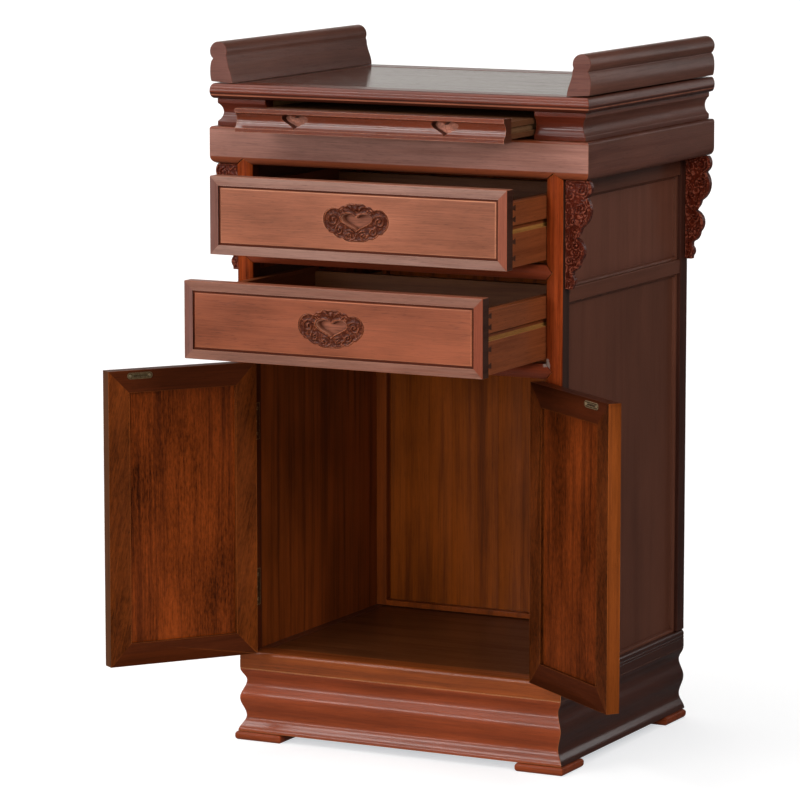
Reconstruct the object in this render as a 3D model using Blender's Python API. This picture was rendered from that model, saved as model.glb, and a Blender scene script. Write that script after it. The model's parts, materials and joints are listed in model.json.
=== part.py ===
"""Altar cabinet in red hardwood: two drawers over a pair of doors, a pull-out shelf in the waist,
raised end flanges on the top, a moulded plinth on four pad feet and a carved bracket at each post."""

import bpy
import bmesh
from math import cos, sin, pi, radians, sqrt
from mathutils import Matrix, Vector

for old in list(bpy.data.objects):
    bpy.data.objects.remove(old, do_unlink=True)

# Heights of the pieces as they stack up from the floor, in metres
FOOT_HEIGHT = 0.0115
PLINTH_HEIGHT = 0.0867
BASE_FRAME_HEIGHT = 0.0247
CUPBOARD_HEIGHT = 0.3998
DRAWER_RAIL_HEIGHT = 0.0195
LOWER_BAY_HEIGHT = 0.1097
UPPER_BAY_HEIGHT = 0.1107
APRON_HEIGHT = 0.0499
WAIST_HEIGHT = 0.0365
DECK_THICKNESS = 0.020
FLANGE_HEIGHT = 0.0552
JOINT_GAP = 0.0003

# Plan sizes: the top is the largest piece, and the cabinet's back is flat
DECK_WIDTH = 0.555
DECK_DEPTH = 0.411
DECK_OVERHANG = 0.038
FACE_SETBACK = 0.0072
POST_WIDTH = 0.0235
FRONT_POST_DEPTH = 0.0203
REAR_POST_DEPTH = 0.0235
POST_CROWN = 0.0047
POST_TIP_RISE = 0.0085

# Side walls, back and floor
SIDE_WALL_THICKNESS = 0.0185
SIDE_PANEL_THICKNESS = 0.0085
SIDE_PANEL_RECESS = 0.010
SIDE_RAIL_SETBACK = 0.001
SIDE_MID_RAIL_DROP = 0.0305
SIDE_MID_RAIL_HEIGHT = 0.019
SIDE_TOP_RAIL_HEIGHT = 0.0257
BACK_FRAME_THICKNESS = 0.0137
BACK_FRAME_STILE = 0.016
BACK_FRAME_RAIL = 0.0077
BACK_FRAME_TOP_RAIL = 0.015
BACK_PANEL_THICKNESS = 0.008
FLOOR_THICKNESS = 0.0122
FLOOR_DROP = 0.0008
BASE_FRAME_ROUND = 0.006
BASE_FRAME_WIDTH = 0.0315
BASE_FRAME_RIM = 0.0177
BASE_FRAME_FRONT_RIM = 0.0083

# Plinth moulding: how far each height stands out from the carcass
PLINTH_BOARD = 0.0315
PLINTH_FLARE = 0.0022
PLINTH_LOWER_COVE = -0.0064
PLINTH_LOWER_COVE_HEIGHT = 0.0205
PLINTH_BEAD = 0.0003
PLINTH_BEAD_HEIGHT = 0.046
PLINTH_UPPER_COVE = -0.0068
PLINTH_UPPER_COVE_HEIGHT = 0.0695
FOOT_OVERHANG = 0.0055
FOOT_LENGTH = 0.070
FOOT_DEPTH = 0.068
FOOT_BACK_SETBACK = 0.002
FOOT_ROUND = 0.004

# Apron, waist and top
APRON_BOTTOM_ROUND = 0.010
APRON_BOTTOM_LEDGE = 0.0005
APRON_TOP_ROUND = 0.0034
WAIST_INSET = 0.008
WAIST_COVE_DEPTH = 0.006
WAIST_FILLET = 0.0062
WAIST_BOARD = 0.0295
WAIST_FRONT_BOARD = 0.0225
DECK_BULGE = 0.005
DECK_SIDE_MEMBER = 0.045
DECK_CROSS_MEMBER = 0.038
DECK_REBATE = 0.006
DECK_PANEL_THICKNESS = 0.0098
FLANGE_END_SETBACK = 0.0035
FLANGE_OUTER_INSET = 0.001
FLANGE_FOOT_WIDTH = 0.032
FLANGE_NECK_WIDTH = 0.024
FLANGE_BEAD_RADIUS = 0.013
FLANGE_BEAD_OVERHANG = 0.0011
FLANGE_NECK_STEP = 0.00325

# Pull-out shelf in the waist
SHELF_SLOT_WIDTH = 0.394
SHELF_FRONT_SIDE_CLEARANCE = 0.0017
SHELF_FRONT_HEIGHT = 0.0309
SHELF_FRONT_THICKNESS = 0.022
SHELF_FRONT_CLEARANCE = 0.0013
SHELF_BOARD_SIDE_CLEARANCE = 0.0035
SHELF_BOARD_THICKNESS = 0.022
SHELF_BOARD_LIFT = 0.0037
SHELF_LENGTH = 0.350
SHELF_GROOVE_HEIGHT = 0.008
SHELF_GROOVE_DEPTH = 0.005
SHELF_PULL_SPACING = 0.218
SHELF_PULL_WIDTH = 0.042
SHELF_PULL_HEIGHT = 0.021
SHELF_OPENED = 0.0863

# Drawers
DRAWER_SIDE_CLEARANCE = 0.0005
DRAWER_REVEAL_BELOW = 0.0036
DRAWER_REVEAL_ABOVE = 0.0038
DRAWER_LENGTH = 0.350
DRAWER_FRONT_THICKNESS = 0.018
DRAWER_SIDE_THICKNESS = 0.012
DRAWER_SIDE_DROP = 0.017
DRAWER_SIDE_LIFT = 0.003
DRAWER_BACK_THICKNESS = 0.012
DRAWER_BACK_DROP = 0.006
DRAWER_BOTTOM_THICKNESS = 0.006
DRAWER_BOTTOM_LIFT = 0.008
DRAWER_BORDER_WIDTH = 0.0125
DRAWER_BORDER_GROOVE = 0.003
DRAWER_BORDER_GROOVE_DEPTH = 0.002
RUNNER_GROOVE_HEIGHT = 0.010
RUNNER_GROOVE_DEPTH = 0.006
RUNNER_CLEARANCE = 0.0005
UPPER_DRAWER_OPENED = 0.1178
LOWER_DRAWER_OPENED = 0.187

# Carved pull in the middle of each drawer front
MEDALLION_WIDTH = 0.0955
MEDALLION_HEIGHT = 0.0495
MEDALLION_SINK = 0.0026
MEDALLION_BOSSES = 14
MEDALLION_BOSS_RADIUS = 0.0035
BOSS_SEAT = 0.0009
HEART_WIDTH = 0.046
HEART_HEIGHT = 0.023
HEART_DEPTH = 0.011
HEART_TAPER = 0.86

# Doors and their hinges
DOOR_THICKNESS = 0.018
DOOR_FACE_SETBACK = 0.0003
DOOR_BOTTOM_GAP = 0.0025
DOOR_TOP_GAP = 0.0013
DOOR_HINGE_GAP = 0.0014
DOOR_MEETING_GAP = 0.0022
DOOR_FRAME_WIDTH = 0.030
DOOR_PANEL_THICKNESS = 0.008
DOOR_PANEL_RECESS = 0.005
DOOR_PANEL_TONGUE = 0.004
DOOR_PULL_WIDTH = 0.014
DOOR_PULL_HEIGHT = 0.044
DOOR_PULL_DEPTH = 0.009
HINGE_PIN_RADIUS = 0.0024
HINGE_PIN_OUTWARD = 0.0015
HINGE_PIN_FORWARD = 0.0052
HINGE_LENGTH = 0.050
HINGE_END_DISTANCE = 0.060
HINGE_LEAF_WIDTH = 0.0195
HINGE_LEAF_THICKNESS = 0.0008
LEFT_DOOR_OPENED = radians(126.5)
RIGHT_DOOR_OPENED = radians(142.5)

# Carved brackets beside the posts
BRACKET_HEIGHT = 0.1417
BRACKET_THICKNESS = 0.012
BRACKET_FACE_SETBACK = 0.0033
BRACKET_SHANK = 0.010
BRACKET_RIM = 0.003
BRACKET_SINK = 0.002

# Levels worked out from the heights
plinth_bottom = FOOT_HEIGHT + JOINT_GAP
plinth_top = plinth_bottom + PLINTH_HEIGHT
base_bottom = plinth_top + JOINT_GAP
base_top = base_bottom + BASE_FRAME_HEIGHT
carcass_bottom = base_top + JOINT_GAP
lower_rail_bottom = base_top + CUPBOARD_HEIGHT
lower_bay_bottom = lower_rail_bottom + DRAWER_RAIL_HEIGHT
upper_rail_bottom = lower_bay_bottom + LOWER_BAY_HEIGHT
upper_bay_bottom = upper_rail_bottom + DRAWER_RAIL_HEIGHT
carcass_top = upper_bay_bottom + UPPER_BAY_HEIGHT
apron_bottom = carcass_top + JOINT_GAP
apron_top = apron_bottom + APRON_HEIGHT
waist_bottom = apron_top + JOINT_GAP
waist_top = waist_bottom + WAIST_HEIGHT
deck_bottom = waist_top + JOINT_GAP
deck_top = deck_bottom + DECK_THICKNESS

# Places in plan, before the whole cabinet is set over its origin
deck_x = DECK_WIDTH / 2
front_y = -DECK_DEPTH / 2
back_y = DECK_DEPTH / 2
carcass_x = deck_x - DECK_OVERHANG
face_y = front_y + FACE_SETBACK
post_inner_x = carcass_x - POST_WIDTH
front_post_back_y = face_y + FRONT_POST_DEPTH
rear_post_front_y = back_y - REAR_POST_DEPTH
wall_inner_x = carcass_x - SIDE_WALL_THICKNESS
back_frame_front_y = rear_post_front_y - JOINT_GAP - BACK_FRAME_THICKNESS
pin_x = post_inner_x + HINGE_PIN_OUTWARD
pin_y = face_y + DOOR_FACE_SETBACK - HINGE_PIN_FORWARD
door_hinge_edge = HINGE_PIN_OUTWARD + DOOR_HINGE_GAP
door_free_edge = pin_x - DOOR_MEETING_GAP / 2
door_inner_face = HINGE_PIN_FORWARD + DOOR_THICKNESS


def make_material(name, colour, roughness, metallic=0.0):
    """A plain finish from its colour, roughness and metallic value."""
    made = bpy.data.materials.new(name)
    made.use_nodes = True
    shader = made.node_tree.nodes["Principled BSDF"]
    shader.inputs["Base Color"].default_value = (*colour, 1.0)
    shader.inputs["Roughness"].default_value = roughness
    shader.inputs["Metallic"].default_value = metallic
    return made


polished_front = make_material("polished front", (0.30, 0.10, 0.055), 0.35)
red_moulding = make_material("red moulding", (0.16, 0.035, 0.012), 0.28)
dark_side = make_material("dark side", (0.085, 0.030, 0.020), 0.38)
warm_inside = make_material("warm inside", (0.11, 0.032, 0.012), 0.50)
bare_wood = make_material("bare wood", (0.42, 0.21, 0.10), 0.70)
glossy_top = make_material("glossy top", (0.12, 0.04, 0.022), 0.12)
carved_wood = make_material("carved wood", (0.15, 0.030, 0.012), 0.30)
brass = make_material("brass", (0.55, 0.38, 0.18), 0.35, 1.0)


def make_empty(name, place, parent=None, turn=0.0):
    """A pivot or a carrier, turned about the upright axis."""
    made = bpy.data.objects.new(name, None)
    made.location = place
    made.rotation_euler = (0.0, 0.0, turn)
    made.parent = parent
    bpy.context.collection.objects.link(made)
    return made


def make_piece(name, shape, finish, parent, smooth=False, place=(0.0, 0.0, 0.0)):
    """Turns a bmesh into one named object with its own material."""
    bmesh.ops.recalc_face_normals(shape, faces=shape.faces)
    mesh = bpy.data.meshes.new(name)
    shape.to_mesh(mesh)
    shape.free()
    made = bpy.data.objects.new(name, mesh)
    made.location = place
    made.parent = parent
    bpy.context.collection.objects.link(made)
    if finish:
        mesh.materials.append(finish)
    if smooth:
        mesh.shade_smooth()
        mesh.set_sharp_from_angle(angle=radians(35))
    return made


def box_shape(low, high):
    """A closed box between two corners."""
    shape = bmesh.new()
    size = [b - a for a, b in zip(low, high)]
    middle = [(a + b) / 2 for a, b in zip(low, high)]
    matrix = Matrix.Translation(middle) @ Matrix.Diagonal((*size, 1.0))
    bmesh.ops.create_cube(shape, size=1.0, matrix=matrix)
    return shape


def board(name, low, high, finish, parent):
    """A plain board between two corners."""
    return make_piece(name, box_shape(low, high), finish, parent)


def prism_shape(outline, axis, start, end, end_scale=1.0, centre=(0.0, 0.0)):
    """An outline extruded along an axis, with its far end drawn in by a scale about a centre."""
    shape = bmesh.new()

    def point(a, b, along):
        return Vector({"X": (along, a, b), "Y": (a, along, b), "Z": (a, b, along)}[axis])

    face = shape.faces.new([shape.verts.new(point(a, b, start)) for a, b in outline])
    extruded = bmesh.ops.extrude_face_region(shape, geom=[face])["geom"]
    far = [item for item in extruded if isinstance(item, bmesh.types.BMVert)]
    about = Matrix.Translation(-point(*centre, start))
    bmesh.ops.scale(shape, vec=point(end_scale, end_scale, 1.0), space=about, verts=far)
    bmesh.ops.translate(shape, vec=point(0.0, 0.0, end - start), verts=far)
    return shape


def ring_shape(rectangles, axes="XYZ"):
    """A mitred ring. Each rectangle is (low a, high a, low b, high b, level) and is one line of the
    moulding; the lines join up in order and the last meets the first."""
    shape = bmesh.new()
    order = [axes.index(letter) for letter in "XYZ"]
    loops = []
    for a0, a1, b0, b1, level in rectangles:
        corners = [(a0, b0, level), (a1, b0, level), (a1, b1, level), (a0, b1, level)]
        loops.append([shape.verts.new([corner[i] for i in order]) for corner in corners])
    for line, following in zip(loops, loops[1:] + loops[:1]):
        for i in range(4):
            j = (i + 1) % 4
            shape.faces.new((line[i], line[j], following[j], following[i]))
    return shape


def arc(centre_a, centre_b, radius, start, end, steps, radius_b=None):
    """Points along an arc, angles in degrees."""
    radius_b = radius if radius_b is None else radius_b
    turns = [radians(start + (end - start) * i / steps) for i in range(steps + 1)]
    return [(centre_a + radius * cos(t), centre_b + radius_b * sin(t)) for t in turns]


def hide_tool(tool):
    """Cutters stay out of the model."""
    tool.hide_render = True
    tool.display_type = "WIRE"


def combine(target, tool, operation):
    """Cuts a hidden shape from a piece, or joins it on."""
    hide_tool(tool)
    modifier = target.modifiers.new(tool.name, "BOOLEAN")
    modifier.operation = operation
    modifier.solver = "EXACT"
    modifier.object = tool


# The whole cabinet is set so that the box round it, as it stands open, is centred on the origin
def door_point(side, opened, across, through):
    """A point of a door in plan: so far from the pin towards the free edge, and so far inwards."""
    x = -across * cos(opened) - through * sin(opened)
    y = -across * sin(opened) + through * cos(opened)
    return side * (pin_x + x), pin_y + y


door_reach = []
for side, opened in ((-1, LEFT_DOOR_OPENED), (1, RIGHT_DOOR_OPENED)):
    for through in (HINGE_PIN_FORWARD, door_inner_face):
        door_reach.append(door_point(side, opened, door_free_edge, through))
left_reach = min([-deck_x - FLANGE_BEAD_OVERHANG] + [x for x, y in door_reach])
right_reach = max([deck_x + FLANGE_BEAD_OVERHANG] + [x for x, y in door_reach])
drawer_reach = face_y - max(LOWER_DRAWER_OPENED, UPPER_DRAWER_OPENED)
front_reach = min([drawer_reach, front_y] + [y for x, y in door_reach])
cabinet = make_empty("cabinet", (-(left_reach + right_reach) / 2, -(front_reach + back_y) / 2, 0.0))

# Four pad feet with rounded edges, under the corners of the plinth
foot_outer_x = carcass_x + FOOT_OVERHANG
foot_front_y = face_y - FOOT_OVERHANG
foot_back_y = back_y - FOOT_BACK_SETBACK
for side, side_name in ((-1, "left"), (1, "right")):
    for end_name, y0, y1 in (("front", foot_front_y, foot_front_y + FOOT_DEPTH),
                             ("back", foot_back_y - FOOT_DEPTH, foot_back_y)):
        x0, x1 = sorted((side * foot_outer_x, side * (foot_outer_x - FOOT_LENGTH)))
        foot = box_shape((x0, y0, 0.0), (x1, y1, FOOT_HEIGHT))
        level_edges = [e for e in foot.edges if abs(e.verts[0].co.z - e.verts[1].co.z) < 1e-6]
        bmesh.ops.bevel(foot, geom=level_edges, offset=FOOT_ROUND, segments=3, profile=0.5,
                        affect="EDGES", material=-1)
        make_piece("foot_" + end_name + "_" + side_name, foot, red_moulding, cabinet, smooth=True)


# Plinth: a wave moulding on the front and sides, run out flat at the back
def wave_points(turning_points, steps):
    """A smooth wave through its crests and hollows, given as (height, stand-out) pairs."""
    points = []
    for (z0, out0), (z1, out1) in zip(turning_points, turning_points[1:]):
        for i in range(steps):
            share = i / steps
            ease = (1 - cos(pi * share)) / 2
            points.append((z0 + (z1 - z0) * share, out0 + (out1 - out0) * ease))
    points.append(turning_points[-1])
    return points


plinth_turns = [(0.0, PLINTH_FLARE), (PLINTH_LOWER_COVE_HEIGHT, PLINTH_LOWER_COVE),
                (PLINTH_BEAD_HEIGHT, PLINTH_BEAD), (PLINTH_UPPER_COVE_HEIGHT, PLINTH_UPPER_COVE),
                (PLINTH_HEIGHT, 0.0)]
plinth_lines = [(-carcass_x - out, carcass_x + out, face_y - out, back_y, plinth_bottom + z)
                for z, out in wave_points(plinth_turns, 5)]
hollow = (-carcass_x + PLINTH_BOARD, carcass_x - PLINTH_BOARD, face_y + PLINTH_BOARD,
          back_y - PLINTH_BOARD)
plinth_lines += [(*hollow, plinth_top), (*hollow, plinth_bottom)]
make_piece("plinth", ring_shape(plinth_lines), red_moulding, cabinet, smooth=True)

# Base frame with its front edge rounded over, rebated for the cupboard's floor
floor_top = base_top - FLOOR_DROP
floor_ledge = floor_top - FLOOR_THICKNESS - JOINT_GAP
front_round = arc(face_y + BASE_FRAME_ROUND, base_top - BASE_FRAME_ROUND, BASE_FRAME_ROUND,
                  180, 90, 4)
base_lines = [(-carcass_x, carcass_x, face_y, back_y, base_bottom)]
base_lines += [(-carcass_x, carcass_x, y, back_y, z) for y, z in front_round]
rim = (-carcass_x + BASE_FRAME_RIM, carcass_x - BASE_FRAME_RIM, face_y + BASE_FRAME_FRONT_RIM,
       rear_post_front_y)
base_hollow = (-carcass_x + BASE_FRAME_WIDTH, carcass_x - BASE_FRAME_WIDTH,
               face_y + BASE_FRAME_WIDTH, back_y - BASE_FRAME_WIDTH)
base_lines += [(*rim, base_top), (*rim, floor_ledge), (*base_hollow, floor_ledge),
               (*base_hollow, base_bottom)]
make_piece("base_frame", ring_shape(base_lines), red_moulding, cabinet, smooth=True)
board("floor_board",
      (rim[0] + JOINT_GAP, rim[2] + JOINT_GAP, floor_ledge + JOINT_GAP),
      (rim[1] - JOINT_GAP, rim[3] - JOINT_GAP, floor_top), warm_inside, cabinet)


# Posts: the front pair are crowned, end in a pointed tip and are notched for the drawer rails
def tip_outline(inner, outer, level, rise, spread):
    """A flat-based triangle, enlarged downwards past its base by the spread."""
    middle = (inner + outer) / 2
    half = abs(outer - inner) / 2 * (rise + spread) / rise
    return [(middle - half, level - spread), (middle + half, level - spread), (middle, level + rise)]


def crown(centre, half, base_y, steps):
    """The gently rounded front of a post or rail, from one edge to the other."""
    radius = (half ** 2 + POST_CROWN ** 2) / (2 * POST_CROWN)
    points = []
    for i in range(steps + 1):
        offset = half * (2 * i / steps - 1)
        points.append((centre + offset, base_y - sqrt(radius ** 2 - offset ** 2) + radius - POST_CROWN))
    return points


rail_tip = DRAWER_RAIL_HEIGHT / 2
rail_levels = (("lower", lower_rail_bottom), ("upper", upper_rail_bottom))
for side, side_name in ((-1, "left"), (1, "right")):
    post_middle = side * (post_inner_x + POST_WIDTH / 2)
    outline = crown(post_middle, POST_WIDTH / 2, face_y, 8)
    outline += [(post_middle + POST_WIDTH / 2, front_post_back_y),
                (post_middle - POST_WIDTH / 2, front_post_back_y)]
    post = prism_shape(outline, "Z", carcass_bottom, carcass_top + POST_TIP_RISE)
    for slope in (-1, 1):
        bmesh.ops.bisect_plane(post, geom=post.verts[:] + post.edges[:] + post.faces[:],
                               plane_co=(post_middle, 0.0, carcass_top + POST_TIP_RISE),
                               plane_no=(slope * POST_TIP_RISE, 0.0, POST_WIDTH / 2),
                               clear_outer=True)
        open_edges = [edge for edge in post.edges if edge.is_boundary]
        bmesh.ops.contextual_create(post, geom=open_edges)
    post = make_piece("front_post_" + side_name, post, red_moulding, cabinet, smooth=True)
    for level_name, level in rail_levels:
        middle = level + rail_tip
        reach = post_inner_x + rail_tip + 2 * JOINT_GAP
        spread = rail_tip + 3 * JOINT_GAP
        notch = [(side * reach, middle), (side * (reach - spread), middle - spread),
                 (side * (reach - spread), middle + spread)]
        tool = make_piece("notch_" + level_name + "_" + side_name,
                          prism_shape(notch, "Y", front_y - POST_CROWN, front_post_back_y + POST_CROWN),
                          None, cabinet)
        combine(post, tool, "DIFFERENCE")
    x0, x1 = sorted((side * post_inner_x, side * carcass_x))
    board("rear_post_" + side_name, (x0, rear_post_front_y, carcass_bottom),
          (x1, back_y, carcass_top), dark_side, cabinet)

# Drawer rails with the same crown, pointed at both ends to lie in the posts' notches
for level_name, level in rail_levels:
    section = [(y, z) for z, y in crown(level + rail_tip, rail_tip, face_y, 8)]
    section += [(front_post_back_y, level + DRAWER_RAIL_HEIGHT), (front_post_back_y, level)]
    reach = post_inner_x + rail_tip
    rail = prism_shape(section, "X", -reach, reach)
    for end in (-1, 1):
        for slope in (-1, 1):
            bmesh.ops.bisect_plane(rail, geom=rail.verts[:] + rail.edges[:] + rail.faces[:],
                                   plane_co=(end * reach, 0.0, level + rail_tip),
                                   plane_no=(end, 0.0, slope), clear_outer=True)
            open_edges = [edge for edge in rail.edges if edge.is_boundary]
            bmesh.ops.contextual_create(rail, geom=open_edges)
    make_piece("drawer_rail_" + level_name, rail, red_moulding, cabinet, smooth=True)

# Side walls: a mid and a top rail between the posts, and a thin panel above and below the mid rail
mid_rail_bottom = upper_rail_bottom - SIDE_MID_RAIL_DROP
mid_rail_top = mid_rail_bottom + SIDE_MID_RAIL_HEIGHT
top_rail_bottom = carcass_top - SIDE_TOP_RAIL_HEIGHT
wall_y = (front_post_back_y + JOINT_GAP, rear_post_front_y - JOINT_GAP)
panel_outer_x = carcass_x - SIDE_PANEL_RECESS
for side, side_name in ((-1, "left"), (1, "right")):
    rail_x = sorted((side * wall_inner_x, side * (carcass_x - SIDE_RAIL_SETBACK)))
    panel_x = sorted((side * (panel_outer_x - SIDE_PANEL_THICKNESS), side * panel_outer_x))
    walls = (("side_mid_rail_", rail_x, mid_rail_bottom, mid_rail_top),
             ("side_top_rail_", rail_x, top_rail_bottom, carcass_top),
             ("lower_side_panel_", panel_x, carcass_bottom, mid_rail_bottom - JOINT_GAP),
             ("upper_side_panel_", panel_x, mid_rail_top + JOINT_GAP, top_rail_bottom - JOINT_GAP))
    for name, (x0, x1), z0, z1 in walls:
        board(name + side_name, (x0, wall_y[0], z0), (x1, wall_y[1], z1), dark_side, cabinet)

# Back: a slim frame inside, and the boarded panel between the rear posts behind it
frame_x = wall_inner_x - JOINT_GAP
frame_lines = []
for inset_x, inset_low, inset_high, y in (
        (0.0, 0.0, 0.0, back_frame_front_y), (0.0, 0.0, 0.0, wall_y[1]),
        (BACK_FRAME_STILE, BACK_FRAME_RAIL, BACK_FRAME_TOP_RAIL, wall_y[1]),
        (BACK_FRAME_STILE, BACK_FRAME_RAIL, BACK_FRAME_TOP_RAIL, back_frame_front_y)):
    frame_lines.append((-frame_x + inset_x, frame_x - inset_x, carcass_bottom + inset_low,
                        carcass_top - inset_high, y))
make_piece("back_frame", ring_shape(frame_lines, "XZY"), warm_inside, cabinet)
board("back_panel", (-post_inner_x + JOINT_GAP, rear_post_front_y, carcass_bottom),
      (post_inner_x - JOINT_GAP, rear_post_front_y + BACK_PANEL_THICKNESS, carcass_top),
      warm_inside, cabinet)

# Apron: a beam round the top of the posts, rounded under, notched for the post tips
apron_outer = arc(APRON_BOTTOM_ROUND, apron_bottom + APRON_BOTTOM_ROUND, APRON_BOTTOM_ROUND,
                  270, 180, 5)
apron_outer = [(APRON_BOTTOM_ROUND + APRON_BOTTOM_LEDGE, apron_bottom)] + apron_outer[1:]
apron_outer += arc(APRON_TOP_ROUND, apron_top - APRON_TOP_ROUND, APRON_TOP_ROUND, 180, 90, 3)
apron_lines = [(-deck_x + inset, deck_x - inset, front_y + inset, back_y, z) for inset, z in apron_outer]
bay = (-post_inner_x, post_inner_x, front_post_back_y, rear_post_front_y)
apron_lines += [(*bay, apron_top), (*bay, apron_bottom)]
apron = make_piece("apron", ring_shape(apron_lines), red_moulding, cabinet, smooth=True)
for side, side_name in ((-1, "left"), (1, "right")):
    outline = tip_outline(side * post_inner_x, side * carcass_x, carcass_top + 2 * JOINT_GAP,
                          POST_TIP_RISE, POST_TIP_RISE / 2)
    tool = make_piece("tip_notch_" + side_name,
                      prism_shape(outline, "Y", front_y - POST_CROWN, front_post_back_y + JOINT_GAP),
                      None, cabinet)
    combine(apron, tool, "DIFFERENCE")


# Waist: a coved ring under the top, with a slot in front for the shelf
def coved_edge(bottom, top, fillet, depth, inset, steps):
    """Fillet, hollow and fillet, as (inset, height) pairs from the bottom up."""
    low, high = bottom + fillet, top - fillet
    half = (high - low) / 2
    radius = (half ** 2 + depth ** 2) / (2 * depth)
    points = [(inset, bottom)]
    for i in range(steps + 1):
        offset = half * (2 * i / steps - 1)
        hollow_depth = depth - radius + sqrt(radius ** 2 - offset ** 2)
        points.append((inset + hollow_depth, low + half + offset))
    points.append((inset, top))
    return points


waist_edge = coved_edge(waist_bottom, waist_top, WAIST_FILLET, WAIST_COVE_DEPTH, WAIST_INSET, 8)
waist_lines = [(-deck_x + inset, deck_x - inset, front_y + inset, back_y, z) for inset, z in waist_edge]
waist_inner_x = deck_x - WAIST_INSET - WAIST_BOARD
waist_inner = (-waist_inner_x, waist_inner_x, front_y + WAIST_INSET + WAIST_FRONT_BOARD,
               rear_post_front_y)
waist_lines += [(*waist_inner, waist_top), (*waist_inner, waist_bottom)]
waist = make_piece("waist", ring_shape(waist_lines), red_moulding, cabinet, smooth=True)
slot = make_piece("shelf_slot",
                  box_shape((-SHELF_SLOT_WIDTH / 2, front_y - WAIST_INSET, waist_bottom - WAIST_INSET),
                            (SHELF_SLOT_WIDTH / 2, waist_inner[2] + JOINT_GAP, waist_top + WAIST_INSET)),
                  None, cabinet)
combine(waist, slot, "DIFFERENCE")

# Shelf guides: a block each side with a tongue that the shelf's groove slides on
shelf_front_half = SHELF_SLOT_WIDTH / 2 - SHELF_FRONT_SIDE_CLEARANCE
board_half = SHELF_SLOT_WIDTH / 2 - SHELF_BOARD_SIDE_CLEARANCE
shelf_middle = waist_bottom + SHELF_BOARD_LIFT + SHELF_BOARD_THICKNESS / 2 + SHELF_FRONT_CLEARANCE
tongue_half = SHELF_GROOVE_HEIGHT / 2 - RUNNER_CLEARANCE
tongue_x = board_half - SHELF_GROOVE_DEPTH + RUNNER_CLEARANCE
for side, side_name in ((-1, "left"), (1, "right")):
    guide = [(waist_inner_x - JOINT_GAP, waist_bottom), (waist_inner_x - JOINT_GAP, waist_top),
             (SHELF_SLOT_WIDTH / 2, waist_top), (SHELF_SLOT_WIDTH / 2, shelf_middle + tongue_half),
             (tongue_x, shelf_middle + tongue_half), (tongue_x, shelf_middle - tongue_half),
             (SHELF_SLOT_WIDTH / 2, shelf_middle - tongue_half), (SHELF_SLOT_WIDTH / 2, waist_bottom)]
    guide = [(side * x, z) for x, z in guide]
    make_piece("shelf_guide_" + side_name,
               prism_shape(guide, "Y", waist_inner[2] + JOINT_GAP, rear_post_front_y - JOINT_GAP),
               bare_wood, cabinet)

# Top: a mitred frame with a full rounded edge, and a panel resting in its rebate
deck_middle = deck_bottom + DECK_THICKNESS / 2
deck_edge = arc(DECK_BULGE, deck_middle, DECK_BULGE, 270, 90, 8, radius_b=DECK_THICKNESS / 2)
deck_lines = [(-deck_x + inset, deck_x - inset, front_y + inset, back_y, z) for inset, z in deck_edge]
deck_opening = (-deck_x + DECK_SIDE_MEMBER, deck_x - DECK_SIDE_MEMBER,
                front_y + DECK_CROSS_MEMBER, back_y - DECK_CROSS_MEMBER)
deck_ledge = deck_top - DECK_PANEL_THICKNESS - 2 * JOINT_GAP
deck_hole = (deck_opening[0] + DECK_REBATE, deck_opening[1] - DECK_REBATE,
             deck_opening[2] + DECK_REBATE, deck_opening[3] - DECK_REBATE)
deck_lines += [(*deck_opening, deck_top), (*deck_opening, deck_ledge), (*deck_hole, deck_ledge),
               (*deck_hole, deck_bottom)]
make_piece("deck_frame", ring_shape(deck_lines), glossy_top, cabinet, smooth=True)
board("deck_panel",
      (deck_opening[0] + JOINT_GAP, deck_opening[2] + JOINT_GAP, deck_ledge + JOINT_GAP),
      (deck_opening[1] - JOINT_GAP, deck_opening[3] - JOINT_GAP, deck_top - JOINT_GAP),
      glossy_top, cabinet)

# End flanges: a round bead on a neck that flares inwards on to the top
flange_bottom = deck_top + JOINT_GAP
flange_top = flange_bottom + FLANGE_HEIGHT
flange_outer_x = deck_x - FLANGE_OUTER_INSET
bead_x = deck_x + FLANGE_BEAD_OVERHANG - FLANGE_BEAD_RADIUS
bead_z = flange_top - FLANGE_BEAD_RADIUS
profile = arc(bead_x, bead_z, FLANGE_BEAD_RADIUS, -50, 205, 14)
neck_x = flange_outer_x - FLANGE_NECK_WIDTH
foot_x = flange_outer_x - FLANGE_FOOT_WIDTH
neck_top = profile[-1][1] - FLANGE_NECK_STEP
for i in range(7):
    ease = (1 - cos(pi * i / 6)) / 2
    profile.append((neck_x + (foot_x - neck_x) * ease, neck_top + (flange_bottom - neck_top) * i / 6))
lobe_top = profile[0][1] - FLANGE_BEAD_OVERHANG
lobe_radius_z = (lobe_top - flange_bottom) / 2
lobe_bulge = (deck_x - flange_outer_x) + FLANGE_OUTER_INSET
profile += arc(flange_outer_x - lobe_bulge, flange_bottom + lobe_radius_z, 2 * lobe_bulge, -60, 80, 7,
               radius_b=lobe_radius_z)
profile = [(x, max(z, flange_bottom)) for x, z in profile]
for side, side_name in ((-1, "left"), (1, "right")):
    outline = [(side * x, z) for x, z in profile]
    make_piece("flange_" + side_name,
               prism_shape(outline, "Y", front_y + FLANGE_END_SETBACK, back_y - FLANGE_END_SETBACK),
               dark_side, cabinet, smooth=True)


# Carved brackets: lobes down the free edge, a sunk field and a boss in each lobe
def bracket_lobes():
    """Each lobe as (centre out from the post, centre below the top, radius)."""
    shares = ((0.152, 0.071, 0.102), (0.064, 0.275, 0.185), (0.042, 0.423, 0.116),
              (0.060, 0.646, 0.126), (0.042, 0.734, 0.106), (0.032, 0.925, 0.060))
    return [[share * BRACKET_HEIGHT for share in lobe] for lobe in shares]


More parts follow.
